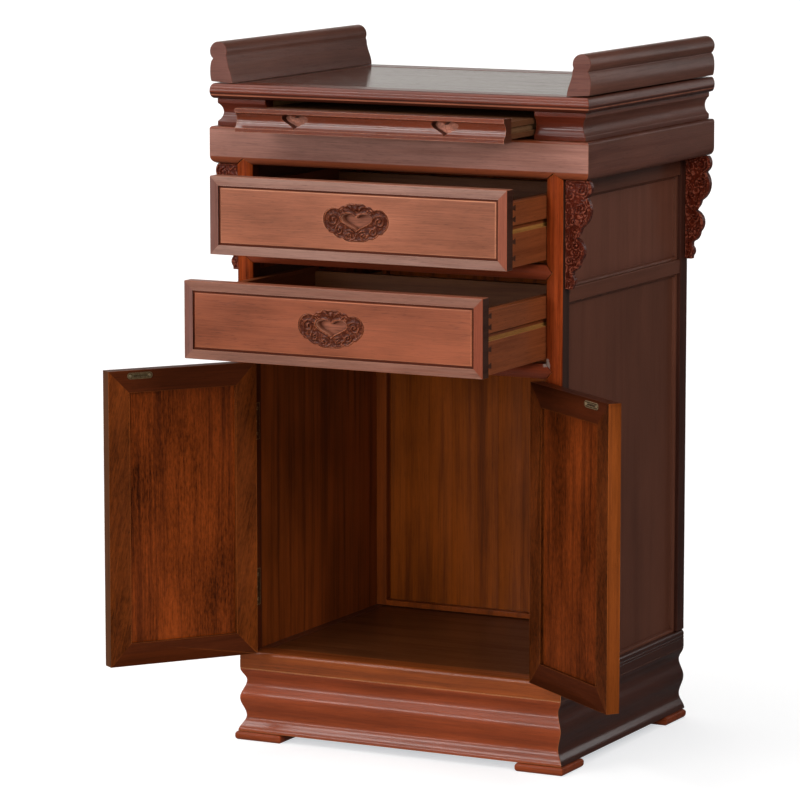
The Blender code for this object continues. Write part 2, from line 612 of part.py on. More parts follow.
def bracket_reach(below):
    """How far the bracket stands out from the post, so far below its top."""
    reach = BRACKET_SHANK
    for out, down, radius in bracket_lobes():
        if abs(below - down) < radius:
            reach = max(reach, out + sqrt(radius ** 2 - (below - down) ** 2))
    return reach


def bracket_outline(inset, steps):
    """The bracket's outline drawn in by an inset, from the top down and back along the post."""
    levels = [inset + (BRACKET_HEIGHT - 2 * inset) * i / steps for i in range(steps + 1)]
    free_edge = [(bracket_reach(below) - inset, -below) for below in levels]
    return [(inset, -inset)] + free_edge + [(inset, inset - BRACKET_HEIGHT)]


def dome_shape(places, height, field_y):
    """Low round bosses that stand up from a field, their middles a little below it."""
    shape = bmesh.new()
    for x, z, radius in places:
        matrix = Matrix.Translation((x, field_y + BOSS_SEAT, z))
        matrix = matrix @ Matrix.Diagonal((radius, height + BOSS_SEAT, radius, 1.0))
        matrix = matrix @ Matrix.Rotation(pi / 2, 4, "X")
        bmesh.ops.create_uvsphere(shape, u_segments=8, v_segments=4, radius=1.0, matrix=matrix)
    return shape


for side, side_name in ((-1, "left"), (1, "right")):
    for end_name, y0 in (("front", face_y + BRACKET_FACE_SETBACK),
                         ("back", back_y - BRACKET_THICKNESS)):
        name = "bracket_" + end_name + "_" + side_name
        root = (side * (carcass_x + JOINT_GAP), carcass_top)
        outline = [(root[0] + side * x, root[1] + z) for x, z in bracket_outline(0.0, 48)]
        field = [(root[0] + side * x, root[1] + z) for x, z in bracket_outline(BRACKET_RIM, 36)]
        bracket = make_piece(name, prism_shape(outline, "Y", y0, y0 + BRACKET_THICKNESS),
                             carved_wood, cabinet)
        tool = make_piece("field_" + end_name + "_" + side_name,
                          prism_shape(field, "Y", y0 - BRACKET_SINK, y0 + BRACKET_SINK), None, cabinet)
        combine(bracket, tool, "DIFFERENCE")
        places = [(root[0] + side * (BRACKET_RIM + out) * 0.9, root[1] - down, radius * 0.4)
                  for out, down, radius in bracket_lobes()[::2] + bracket_lobes()[5:]]
        places += [(root[0] + side * BRACKET_SHANK * 1.5, root[1] - down, radius * 0.35)
                   for out, down, radius in bracket_lobes()[1:2]]
        tool = make_piece("bosses_" + end_name + "_" + side_name,
                          dome_shape(places, BRACKET_SINK * 1.1, y0 + BRACKET_SINK), None, cabinet)
        combine(bracket, tool, "UNION")


# Outlines of the carved pulls
def heart_outline(width, height, count):
    """A broad heart, tip down, centred on its own middle."""
    raw = []
    for i in range(count):
        t = 2 * pi * i / count
        raw.append((sin(t) ** 3, 13 * cos(t) - 5 * cos(2 * t) - 2 * cos(3 * t) - cos(4 * t)))
    low, high = min(b for a, b in raw), max(b for a, b in raw)
    return [(a * width / 2, (b - (low + high) / 2) / (high - low) * height) for a, b in raw]


def medallion_outline(count):
    """A scalloped oval: a broad dome on top, a round lobe each side and small lobes below."""
    half_w, half_h = MEDALLION_WIDTH / 2, MEDALLION_HEIGHT / 2
    lobes = [(0.0, 0.0, 0.56 * half_w)]
    for side in (-1, 1):
        lobes += [(side * 0.66 * half_w, 0.10 * half_h, 0.34 * half_w),
                  (side * 0.46 * half_w, -0.30 * half_h, 0.28 * half_w),
                  (side * 0.20 * half_w, -0.46 * half_h, 0.28 * half_w)]
    outline = []
    for i in range(count):
        t = 2 * pi * i / count
        ray = Vector((cos(t), sin(t)))
        far = 0.0
        for x, z, radius in lobes:
            along = ray.x * x + ray.y * z
            inside = along ** 2 - (x * x + z * z) + radius ** 2
            if inside >= 0:
                far = max(far, along + sqrt(inside))
        outline.append((far * ray.x, max(-half_h, min(half_h, far * ray.y))))
    return outline


def drawer(name, bay_bottom, bay_height, opened):
    """A drawer: grooved front with a carved pull, two grooved sides, a back and a bottom."""
    carrier = make_empty(name + "_slide", (0.0, -opened, 0.0), cabinet)
    half = post_inner_x - DRAWER_SIDE_CLEARANCE
    bottom = bay_bottom + DRAWER_REVEAL_BELOW
    top = bay_bottom + bay_height - DRAWER_REVEAL_ABOVE
    middle = (bottom + top) / 2
    front_back_y = face_y + DRAWER_FRONT_THICKNESS
    front = board(name + "_front", (-half, face_y, bottom), (half, front_back_y, top),
                  polished_front, carrier)
    lines = []
    for inset, y in ((DRAWER_BORDER_WIDTH, face_y - DRAWER_BORDER_GROOVE),
                     (DRAWER_BORDER_WIDTH, face_y + DRAWER_BORDER_GROOVE_DEPTH),
                     (DRAWER_BORDER_WIDTH + DRAWER_BORDER_GROOVE, face_y + DRAWER_BORDER_GROOVE_DEPTH),
                     (DRAWER_BORDER_WIDTH + DRAWER_BORDER_GROOVE, face_y - DRAWER_BORDER_GROOVE)):
        lines.append((-half + inset, half - inset, bottom + inset, top - inset, y))
    combine(front, make_piece(name + "_border", ring_shape(lines, "XZY"), None, carrier), "DIFFERENCE")
    pocket = [(x, middle + z) for x, z in medallion_outline(56)]
    tool = make_piece(name + "_pocket", prism_shape(pocket, "Y", face_y - MEDALLION_SINK,
                                                    face_y + MEDALLION_SINK), None, carrier)
    combine(front, tool, "DIFFERENCE")
    bosses = []
    for i in range(MEDALLION_BOSSES):
        t = 2 * pi * (i + 0.5) / MEDALLION_BOSSES
        bosses.append((0.385 * MEDALLION_WIDTH * cos(t), middle + 0.335 * MEDALLION_HEIGHT * sin(t),
                       MEDALLION_BOSS_RADIUS))
    tool = make_piece(name + "_bosses",
                      dome_shape(bosses, MEDALLION_SINK * 0.9, face_y + MEDALLION_SINK), None, carrier)
    combine(front, tool, "UNION")
    heart = [(x, middle + z) for x, z in heart_outline(HEART_WIDTH, HEART_HEIGHT, 28)]
    tool = make_piece(name + "_heart",
                      prism_shape(heart, "Y", face_y - MEDALLION_SINK, face_y + HEART_DEPTH,
                                  HEART_TAPER, (0.0, middle)), None, carrier)
    combine(front, tool, "DIFFERENCE")
    end_y = face_y + DRAWER_LENGTH
    side_low, side_high = bottom + DRAWER_SIDE_LIFT, top - DRAWER_SIDE_DROP
    inner = half - DRAWER_SIDE_THICKNESS
    groove_x = half - RUNNER_GROOVE_DEPTH
    groove_half = RUNNER_GROOVE_HEIGHT / 2
    section = [(inner, side_low), (half, side_low), (half, middle - groove_half),
               (groove_x, middle - groove_half), (groove_x, middle + groove_half),
               (half, middle + groove_half), (half, side_high), (inner, side_high)]
    for side, side_name in ((-1, "left"), (1, "right")):
        outline = [(side * x, z) for x, z in section]
        make_piece(name + "_side_" + side_name,
                   prism_shape(outline, "Y", front_back_y + JOINT_GAP, end_y), bare_wood, carrier)
    bottom_z = side_low + DRAWER_BOTTOM_LIFT
    back_low = bottom_z + DRAWER_BOTTOM_THICKNESS + JOINT_GAP
    board(name + "_bottom", (-inner + JOINT_GAP, front_back_y + JOINT_GAP, bottom_z),
          (inner - JOINT_GAP, end_y, bottom_z + DRAWER_BOTTOM_THICKNESS), warm_inside, carrier)
    board(name + "_back", (-inner + JOINT_GAP, end_y - DRAWER_BACK_THICKNESS, back_low),
          (inner - JOINT_GAP, end_y, side_high - DRAWER_BACK_DROP), bare_wood, carrier)
    tongue_half = groove_half - RUNNER_CLEARANCE
    for side, side_name in ((-1, "left"), (1, "right")):
        x0, x1 = sorted((side * (groove_x + RUNNER_CLEARANCE), side * (wall_inner_x - JOINT_GAP)))
        board(name + "_runner_" + side_name,
              (x0, front_post_back_y + JOINT_GAP, middle - tongue_half),
              (x1, back_frame_front_y - JOINT_GAP, middle + tongue_half), bare_wood, cabinet)


drawer("lower_drawer", lower_bay_bottom, LOWER_BAY_HEIGHT, LOWER_DRAWER_OPENED)
drawer("upper_drawer", upper_bay_bottom, UPPER_BAY_HEIGHT, UPPER_DRAWER_OPENED)

# Pull-out shelf: a coved front like the waist, with two heart-shaped finger recesses, and its board
shelf = make_empty("shelf_slide", (0.0, -SHELF_OPENED, 0.0), cabinet)
shelf_front_y = front_y + WAIST_INSET
shelf_bottom = waist_bottom + SHELF_FRONT_CLEARANCE
shelf_edge = coved_edge(shelf_bottom, shelf_bottom + SHELF_FRONT_HEIGHT, WAIST_FILLET - 0.001,
                        WAIST_COVE_DEPTH, 0.0, 8)
shelf_section = [(shelf_front_y + inset, z) for inset, z in shelf_edge]
shelf_section += [(shelf_front_y + SHELF_FRONT_THICKNESS, shelf_bottom + SHELF_FRONT_HEIGHT),
                  (shelf_front_y + SHELF_FRONT_THICKNESS, shelf_bottom)]
shelf_front = make_piece("shelf_front",
                         prism_shape(shelf_section, "X", -shelf_front_half, shelf_front_half),
                         red_moulding, shelf, smooth=True)
pull_z = shelf_bottom + SHELF_FRONT_HEIGHT / 2
for side, side_name in ((-1, "left"), (1, "right")):
    pull_x = side * SHELF_PULL_SPACING / 2
    heart = [(pull_x + x, pull_z + z)
             for x, z in heart_outline(SHELF_PULL_WIDTH, SHELF_PULL_HEIGHT, 28)]
    tool = make_piece("shelf_heart_" + side_name,
                      prism_shape(heart, "Y", shelf_front_y - WAIST_COVE_DEPTH,
                                  shelf_front_y + WAIST_COVE_DEPTH + HEART_DEPTH * 0.8,
                                  HEART_TAPER, (pull_x, pull_z)), None, shelf)
    combine(shelf_front, tool, "DIFFERENCE")
board_low = shelf_middle - SHELF_BOARD_THICKNESS / 2
board_high = shelf_middle + SHELF_BOARD_THICKNESS / 2
groove_low = shelf_middle - SHELF_GROOVE_HEIGHT / 2
groove_high = shelf_middle + SHELF_GROOVE_HEIGHT / 2
groove_x = board_half - SHELF_GROOVE_DEPTH
right_edge = [(board_half, board_low), (board_half, groove_low), (groove_x, groove_low),
              (groove_x, groove_high), (board_half, groove_high), (board_half, board_high)]
shelf_outline = right_edge + [(-x, z) for x, z in reversed(right_edge)]
make_piece("shelf_board",
           prism_shape(shelf_outline, "Y", shelf_front_y + SHELF_FRONT_THICKNESS + JOINT_GAP,
                       shelf_front_y + SHELF_LENGTH), bare_wood, shelf)


# Doors: a frame grooved for its panel, a finger recess in the free stile, two brass hinges
def door(name, side, opened):
    """One door on its hinge pin, drawn closed and turned open by its carrier."""
    pin = make_empty(name + "_hinge", (side * pin_x, pin_y, 0.0), cabinet, turn=side * opened)
    low = base_top + DOOR_BOTTOM_GAP
    high = lower_rail_bottom - DOOR_TOP_GAP
    outer_face, inner_face = HINGE_PIN_FORWARD, door_inner_face
    panel_front = outer_face + DOOR_PANEL_RECESS
    panel_back = inner_face - DOOR_PANEL_RECESS
    deep = DOOR_FRAME_WIDTH - DOOR_PANEL_TONGUE
    lines = []
    for inset, y in ((0.0, outer_face), (0.0, inner_face), (DOOR_FRAME_WIDTH, inner_face),
                     (DOOR_FRAME_WIDTH, panel_back), (deep, panel_back), (deep, panel_front),
                     (DOOR_FRAME_WIDTH, panel_front), (DOOR_FRAME_WIDTH, outer_face)):
        x0, x1 = sorted((-side * (door_hinge_edge + inset), -side * (door_free_edge - inset)))
        lines.append((x0, x1, low + inset, high - inset, y))
    frame = make_piece(name + "_frame", ring_shape(lines, "XZY"), red_moulding, pin)
    stile_middle = -side * (door_free_edge - DOOR_FRAME_WIDTH / 2)
    pull = arc(stile_middle, (low + high) / 2, DOOR_PULL_WIDTH / 2, 0, 360, 20,
               radius_b=DOOR_PULL_HEIGHT / 2)[:-1]
    tool = make_piece(name + "_pull",
                      prism_shape(pull, "Y", outer_face - DOOR_PULL_DEPTH, outer_face + DOOR_PULL_DEPTH),
                      None, pin)
    combine(frame, tool, "DIFFERENCE")
    reach = deep + JOINT_GAP
    x0, x1 = sorted((-side * (door_hinge_edge + reach), -side * (door_free_edge - reach)))
    board(name + "_panel", (x0, panel_front + JOINT_GAP, low + reach),
          (x1, panel_back - JOINT_GAP, high - reach), polished_front, pin)
    for end_name, z0 in (("lower", low + HINGE_END_DISTANCE),
                         ("upper", high - HINGE_END_DISTANCE - HINGE_LENGTH)):
        leaf_x = -side * (door_hinge_edge - JOINT_GAP)
        other_x = leaf_x + side * HINGE_LEAF_THICKNESS
        leaf = box_shape((min(leaf_x, other_x), 0.0, z0),
                         (max(leaf_x, other_x), HINGE_LEAF_WIDTH, z0 + HINGE_LENGTH))
        hinge = make_piece(name + "_hinge_" + end_name, leaf, brass, pin)
        barrel = bmesh.new()
        bmesh.ops.create_cone(barrel, cap_ends=True, segments=12, radius1=HINGE_PIN_RADIUS,
                              radius2=HINGE_PIN_RADIUS, depth=HINGE_LENGTH + 2 * HINGE_PIN_RADIUS,
                              matrix=Matrix.Translation((0.0, 0.0, z0 + HINGE_LENGTH / 2)))
        tool = make_piece(name + "_barrel_" + end_name, barrel, None, pin)
        combine(hinge, tool, "UNION")


door("left_door", -1, LEFT_DOOR_OPENED)
door("right_door", 1, RIGHT_DOOR_OPENED)
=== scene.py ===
"""The looks of a red hardwood altar cabinet: its timbers, carving and brass, from the floor up."""

import json
from math import cos, sin, pi, radians, sqrt

import bpy
import bmesh
from mathutils import Matrix, Vector


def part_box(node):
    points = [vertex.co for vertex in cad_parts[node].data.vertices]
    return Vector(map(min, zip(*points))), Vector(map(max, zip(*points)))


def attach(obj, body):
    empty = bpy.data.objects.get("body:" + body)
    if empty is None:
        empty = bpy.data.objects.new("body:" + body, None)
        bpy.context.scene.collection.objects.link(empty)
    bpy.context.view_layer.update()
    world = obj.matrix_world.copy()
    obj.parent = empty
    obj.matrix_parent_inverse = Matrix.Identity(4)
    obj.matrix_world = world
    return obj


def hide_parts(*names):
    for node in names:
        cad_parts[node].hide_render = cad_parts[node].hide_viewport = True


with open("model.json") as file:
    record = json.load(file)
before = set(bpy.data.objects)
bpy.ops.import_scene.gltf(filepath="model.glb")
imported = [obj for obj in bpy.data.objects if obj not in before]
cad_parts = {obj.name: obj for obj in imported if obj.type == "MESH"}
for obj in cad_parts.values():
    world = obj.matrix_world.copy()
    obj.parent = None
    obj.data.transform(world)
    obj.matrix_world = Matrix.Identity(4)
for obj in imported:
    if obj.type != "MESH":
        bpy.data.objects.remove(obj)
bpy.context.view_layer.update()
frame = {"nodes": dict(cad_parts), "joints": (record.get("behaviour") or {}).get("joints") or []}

# Feet
# Four low pads of the same red hardwood as the mouldings, glued under the corners of the plinth. Their
# edges are rounded over by hand.


def set_input(tree, socket, value):
    """Links an output to a socket, or sets the socket to a plain value."""
    if isinstance(value, bpy.types.NodeSocket):
        tree.links.new(value, socket)
    else:
        socket.default_value = value


def add_node(tree, kind, inputs, **settings):
    """One shader node with its settings, its inputs given as values or as other nodes' outputs."""
    made = tree.nodes.new(kind)
    for key, value in settings.items():
        setattr(made, key, value)
    for key, value in inputs.items():
        set_input(tree, made.inputs[key], value)
    return made


def new_group(name, inputs, outputs):
    """A shader node group with named inputs, each with its own value, and named outputs."""
    group = bpy.data.node_groups.new(name, "ShaderNodeTree")
    for key, (kind, value) in inputs.items():
        made = group.interface.new_socket(name=key, in_out="INPUT", socket_type=kind)
        if value is not None:
            made.default_value = value
    for key, kind in outputs.items():
        group.interface.new_socket(name=key, in_out="OUTPUT", socket_type=kind)
    return group, group.nodes.new("NodeGroupInput").outputs, group.nodes.new("NodeGroupOutput").inputs


def placed_group(tree, group, inputs):
    """A shader node group placed in a material, with values for its inputs."""
    return add_node(tree, "ShaderNodeGroup", inputs, node_tree=group)


def stretched_noise(tree, vector, scale, detail, roughness=0.5):
    """Noise drawn out along the grain, which runs along X."""
    scaled = add_node(tree, "ShaderNodeVectorMath", {0: vector, 1: scale}, operation="MULTIPLY")
    return add_node(tree, "ShaderNodeTexNoise", {"Vector": scaled.outputs[0], "Scale": 1.0,
                                                 "Detail": detail, "Roughness": roughness})


def ranged(tree, value, low, high, to_low=0.0, to_high=1.0, kind="SMOOTHSTEP"):
    """A value eased from one range to another."""
    return add_node(tree, "ShaderNodeMapRange", {"Value": value, "From Min": low, "From Max": high,
                                                 "To Min": to_low, "To Max": to_high},
                    interpolation_type=kind).outputs["Result"]


def arithmetic(tree, operation, a, b):
    """One step of arithmetic on two values."""
    return add_node(tree, "ShaderNodeMath", {0: a, 1: b}, operation=operation).outputs[0]


def scaled_colour(tree, colour, amount):
    """A colour multiplied by a value."""
    return add_node(tree, "ShaderNodeVectorMath", {0: colour, "Scale": amount},
                    operation="SCALE").outputs[0]


def blended(tree, factor, a, b):
    """Two colours mixed by a factor."""
    made = add_node(tree, "ShaderNodeMix", {"Factor": factor}, data_type="RGBA")
    set_input(tree, made.inputs[6], a)
    set_input(tree, made.inputs[7], b)
    return made.outputs[2]


grain_group, given, put_out = new_group(
    "hardwood grain",
    {"Vector": ("NodeSocketVector", None), "Ground": ("NodeSocketColor", (0.2, 0.05, 0.02, 1.0)),
     "Streak": ("NodeSocketColor", (0.05, 0.01, 0.005, 1.0)), "Streaks": ("NodeSocketFloat", 0.5),
     "Fineness": ("NodeSocketFloat", 90.0), "Fibre": ("NodeSocketFloat", 0.5),
     "Mottle": ("NodeSocketFloat", 0.3), "Fleck": ("NodeSocketFloat", 0.0)},
    {"Colour": "NodeSocketColor", "Height": "NodeSocketFloat", "Dullness": "NodeSocketFloat"})
sway = stretched_noise(grain_group, given["Vector"], (2.2, 11.0, 11.0), 2.0)
sway = add_node(grain_group, "ShaderNodeVectorMath", {0: sway.outputs["Color"], 1: (0.5, 0.5, 0.5)},
                operation="SUBTRACT")
sway = add_node(grain_group, "ShaderNodeVectorMath", {0: sway.outputs[0], 1: (0.02, 0.014, 0.014),
                                                      2: given["Vector"]}, operation="MULTIPLY_ADD")
swayed = sway.outputs[0]
across = add_node(grain_group, "ShaderNodeCombineXYZ", {"X": 2.6, "Y": given["Fineness"],
                                                        "Z": given["Fineness"]})
streak = stretched_noise(grain_group, swayed, across.outputs[0], 4.0, 0.62)
fibre = stretched_noise(grain_group, swayed, (16.0, 620.0, 620.0), 3.0, 0.6)
pores = stretched_noise(grain_group, swayed, (75.0, 1500.0, 1500.0), 1.0)
mottle = stretched_noise(grain_group, given["Vector"], (5.0, 13.0, 13.0), 3.0)
fleck = stretched_noise(grain_group, swayed, (120.0, 340.0, 340.0), 2.0, 0.7)
streak_mask = ranged(grain_group, streak.outputs["Fac"], 0.43, 0.70)
streak_share = arithmetic(grain_group, "MULTIPLY", streak_mask, given["Streaks"])
pore_mask = ranged(grain_group, pores.outputs["Fac"], 0.58, 0.72)
pore_share = arithmetic(grain_group, "MULTIPLY", pore_mask, given["Fibre"])
lift = arithmetic(grain_group, "MULTIPLY", pore_share, -0.35)
for pattern, amount in ((fibre, "Fibre"), (mottle, "Mottle"), (fleck, "Fleck")):
    swing = arithmetic(grain_group, "SUBTRACT", pattern.outputs["Fac"], 0.5)
    lift = arithmetic(grain_group, "ADD", lift, arithmetic(grain_group, "MULTIPLY", swing, given[amount]))
lift = arithmetic(grain_group, "MULTIPLY_ADD", lift, 1.6)
lift.node.inputs[2].default_value = 1.0
stained = blended(grain_group, streak_share, given["Ground"], given["Streak"])
grain_group.links.new(scaled_colour(grain_group, stained, lift), put_out["Colour"])
relief = arithmetic(grain_group, "SUBTRACT", fibre.outputs["Fac"], pore_mask)
grain_group.links.new(relief, put_out["Height"])
grain_group.links.new(arithmetic(grain_group, "ADD", pore_share, streak_share), put_out["Dullness"])

# Rubbed marks edges painted lighter, partly as wear and partly as painted highlight; Recess marks hollows
# darkened from ambient occlusion, partly as stain and partly as painted shade.
wear_highlight_stain_and_shade_group, given, put_out = new_group(
    "rubbed or highlit edges and stained or shaded recesses", {"Radius": ("NodeSocketFloat", 0.0015),
                                          "Depth": ("NodeSocketFloat", 0.006)},
    {"Rubbed": "NodeSocketFloat", "Recess": "NodeSocketFloat"})
rounded = add_node(wear_highlight_stain_and_shade_group, "ShaderNodeBevel", {"Radius": given["Radius"]}, samples=4)
surface = add_node(wear_highlight_stain_and_shade_group, "ShaderNodeNewGeometry", {})
facing = add_node(wear_highlight_stain_and_shade_group, "ShaderNodeVectorMath", {0: rounded.outputs[0], 1: surface.outputs["Normal"]},
                  operation="DOT_PRODUCT")
open_sky = add_node(wear_highlight_stain_and_shade_group, "ShaderNodeAmbientOcclusion", {"Distance": given["Depth"]}, samples=6,
                    only_local=True)
edge_mask = ranged(wear_highlight_stain_and_shade_group, facing.outputs["Value"], 0.995, 0.88)
proud = ranged(wear_highlight_stain_and_shade_group, open_sky.outputs["AO"], 0.80, 0.97)
wear_highlight_stain_and_shade_group.links.new(arithmetic(wear_highlight_stain_and_shade_group, "MULTIPLY", edge_mask, proud), put_out["Rubbed"])
wear_highlight_stain_and_shade_group.links.new(ranged(wear_highlight_stain_and_shade_group, open_sky.outputs["AO"], 0.95, 0.35), put_out["Recess"])

# Crest paints the high rings of the chisel pattern pale as painted highlight; Crease paints the low rings
# dark as painted shade.
chisel_group, given, put_out = new_group(
    "fine chisel work with painted light and shade", {"Vector": ("NodeSocketVector", None), "Scale": ("NodeSocketFloat", 120.0)},
    {"Crease": "NodeSocketFloat", "Crest": "NodeSocketFloat", "Height": "NodeSocketFloat"})
warp = add_node(chisel_group, "ShaderNodeTexNoise",
                {"Vector": given["Vector"], "Scale": 260.0, "Detail": 1.0})
warp = add_node(chisel_group, "ShaderNodeVectorMath",
                {0: warp.outputs["Color"], 1: (0.003, 0.003, 0.003), 2: given["Vector"]},
                operation="MULTIPLY_ADD")
spread = {"Vector": warp.outputs[0], "Scale": given["Scale"]}
cells = add_node(chisel_group, "ShaderNodeTexVoronoi", spread)
walls = add_node(chisel_group, "ShaderNodeTexVoronoi", spread, feature="DISTANCE_TO_EDGE")
rings = arithmetic(chisel_group, "MULTIPLY", cells.outputs["Distance"], 11.0)
rings = arithmetic(chisel_group, "COSINE", rings, 0.0)
walled = ranged(chisel_group, walls.outputs["Distance"], 0.0, 0.16)
height = arithmetic(chisel_group, "MULTIPLY", ranged(chisel_group, rings, -1.0, 1.0), walled)
chisel_group.links.new(height, put_out["Height"])
chisel_group.links.new(ranged(chisel_group, height, 0.45, 0.05), put_out["Crease"])
chisel_group.links.new(ranged(chisel_group, height, 0.55, 0.95), put_out["Crest"])



def new_material(name):
    """A material with its node tree and its Principled shader."""
    made = bpy.data.materials.new(name)
    made.use_nodes = True
    return made, made.node_tree, made.node_tree.nodes["Principled BSDF"]


GRAIN_TURNS = {"X": (0.0, 0.0, 0.0), "Y": (0.0, 0.0, -pi / 2), "Z": (0.0, pi / 2, 0.0)}


def timber(name, axis, ground, streak, streaks=0.45, fineness=90.0, fibre=0.45, mottle=0.5,
           roughness=0.32, coat=0.0, specular=0.2, rubbed=0.35, recess=0.8, edge_wear_and_highlight_radius=0.0015, hollow=0.006,
           pale=None, carved=0.0, fleck=0.0, pale_spots=(), turn=None, shift=0.0):
    """A stained and lacquered timber whose grain runs along an axis, or along X before a turn."""
    made, tree, shader = new_material(name)
    place = add_node(tree, "ShaderNodeTexCoord", {}).outputs["Object"]
    mapped = add_node(tree, "ShaderNodeMapping", {"Vector": place, "Location": (shift, 0.7 * shift, -shift),
                                                  "Rotation": turn or GRAIN_TURNS[axis]})
    grain = placed_group(tree, grain_group, {
        "Vector": mapped.outputs[0], "Ground": (*ground, 1.0), "Streak": (*streak, 1.0), "Streaks": streaks,
        "Fineness": fineness, "Fibre": fibre, "Mottle": mottle, "Fleck": fleck})
    wear = placed_group(tree, wear_highlight_stain_and_shade_group, {"Radius": edge_wear_and_highlight_radius, "Depth": hollow})
    # pale is the colour of rubbed edges, partly wear and partly painted highlight; dark is the painted shade
    # laid into recesses and creases.
    pale = (*(pale or (ground[0] * 1.9 + 0.02, ground[1] * 2.1 + 0.01, ground[2] * 2.1)), 1.0)
    dark = (ground[0] * 0.22, ground[1] * 0.16, ground[2] * 0.14, 1.0)
    wear_and_painted_highlight = arithmetic(tree, "MULTIPLY", wear.outputs["Rubbed"], rubbed)
    stain_and_painted_shade = arithmetic(tree, "MULTIPLY", wear.outputs["Recess"], recess)
    colour = blended(tree, wear_and_painted_highlight, grain.outputs["Colour"], pale)
    # Carved finishes get the chisel pattern's crests painted pale as highlight and its creases painted dark
    # as shade.
    if carved:
        chisel = placed_group(tree, chisel_group, {"Vector": place})
        painted_crest_highlight = arithmetic(tree, "MULTIPLY", chisel.outputs["Crest"], 0.55 * carved)
        painted_crease_shade = arithmetic(tree, "MULTIPLY", chisel.outputs["Crease"], carved)
        colour = blended(tree, painted_crease_shade, blended(tree, painted_crest_highlight, colour, pale), dark)
    colour = blended(tree, stain_and_painted_shade, colour, dark)
    # Pale grey spots are painted at the given points.
    for pale_spot in pale_spots:
        ragged = add_node(tree, "ShaderNodeTexNoise", {"Vector": place, "Scale": 300.0, "Detail": 2.0})
        away = add_node(tree, "ShaderNodeVectorMath", {0: place, 1: pale_spot}, operation="DISTANCE")
        away = arithmetic(tree, "ADD", away.outputs["Value"],
                          arithmetic(tree, "MULTIPLY", ragged.outputs["Fac"], 0.006))
        colour = blended(tree, ranged(tree, away, 0.0098, 0.0080), colour, (0.32, 0.22, 0.18, 1.0))
    tree.links.new(colour, shader.inputs["Base Color"])
    dull = ranged(tree, grain.outputs["Dullness"], 0.0, 1.0, roughness, roughness + 0.16, "LINEAR")
    tree.links.new(dull, shader.inputs["Roughness"])
    bump = add_node(tree, "ShaderNodeBump", {"Height": grain.outputs["Height"], "Strength": 0.18,
                                             "Distance": 0.0004})
    if carved:
        bump = add_node(tree, "ShaderNodeBump", {"Height": chisel.outputs["Height"], "Strength": carved,
                                                 "Distance": 0.0012, "Normal": bump.outputs[0]})
    tree.links.new(bump.outputs[0], shader.inputs["Normal"])
    shader.inputs["Specular IOR Level"].default_value = specular
    shader.inputs["Coat Weight"].default_value = coat
    shader.inputs["Coat Roughness"].default_value = 0.16
    return made


def solid_of(*nodes):
    """A workable copy of some pieces' own shape, merged, with each flat face whole again."""
    shape = bmesh.new()
    for node in nodes:
        shape.from_mesh(frame["nodes"][node].data)
    bmesh.ops.remove_doubles(shape, verts=shape.verts, dist=0.00001)
    bmesh.ops.dissolve_limit(shape, angle_limit=radians(0.6), verts=shape.verts, edges=shape.edges)
    return shape


def ease_arrises(shape, width, segments=2, over=40.0):
    """Takes the sharpness off every corner over an angle."""
    sharp = [edge for edge in shape.edges
             if len(edge.link_faces) == 2 and edge.calc_face_angle() > radians(over)]
    bmesh.ops.bevel(shape, geom=sharp, offset=width, segments=segments, profile=0.5, affect="EDGES",
                    material=-1, clamp_overlap=True)


def mesh_of(shape, name):
    """A bmesh turned into a mesh."""
    mesh = bpy.data.meshes.new(name)
    shape.to_mesh(mesh)
    shape.free()
    return mesh


def placed(name, data):
    """An object at the origin that shows some data."""
    made = bpy.data.objects.new(name, data)
    bpy.context.collection.objects.link(made)
    return made


def fit_piece(name, shape, finishes, body, nodes=()):
    """Turns a bmesh into a finished piece on its body, standing for the solids it covers."""
    mesh = mesh_of(shape, name)
    made = placed(name, mesh)
    for finish in finishes:
        mesh.materials.append(finish)
    mesh.shade_smooth()
    mesh.set_sharp_from_angle(angle=radians(50))
    normals = made.modifiers.new("flat faces stay flat", "WEIGHTED_NORMAL")
    normals.keep_sharp = True
    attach(made, body)
    if nodes:
        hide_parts(*nodes)
    return made


def eased_piece(name, node, finishes, body, width, segments=2, over=40.0):
    """A finished piece that is a node's own solid with its arrises eased."""
    shape = solid_of(node)
    ease_arrises(shape, width, segments, over)
    return fit_piece(name, shape, finishes, body, [node])


RED = (0.225, 0.042, 0.012)
RED_STREAK = (0.060, 0.012, 0.006)
foot_timber = timber("foot timber", "X", RED, RED_STREAK, roughness=0.34)
for node in ("foot_front_left", "foot_front_right", "foot_back_left", "foot_back_right"):
    eased_piece(node + "_pad", node, [foot_timber], "carcass", 0.0012, 3, 55.0)

# Plinth
# A deep wave moulding run on a shaper from thick board, mitred round the front and sides, with a plain
# board across the back. The crests are painted pale, partly as wear and partly as painted highlight, the
# sharp top edge as a pale gold highlight line, and the hollows are darkened with painted shade.


def wave_points(turning_points, steps):
    """A smooth wave through its crests and hollows, given as (height, stand-out) pairs."""
    points = []
    for (z0, out0), (z1, out1) in zip(turning_points, turning_points[1:]):
        for i in range(steps):
            share = i / steps
            points.append((z0 + (z1 - z0) * share, out0 + (out1 - out0) * (1 - cos(pi * share)) / 2))
    points.append(turning_points[-1])
    return points


DEEPEST_HOLLOW = -0.012


def new_verts(grown):
    """The vertices that an extrusion made."""
    return [item for item in grown["geom"] if isinstance(item, bmesh.types.BMVert)]


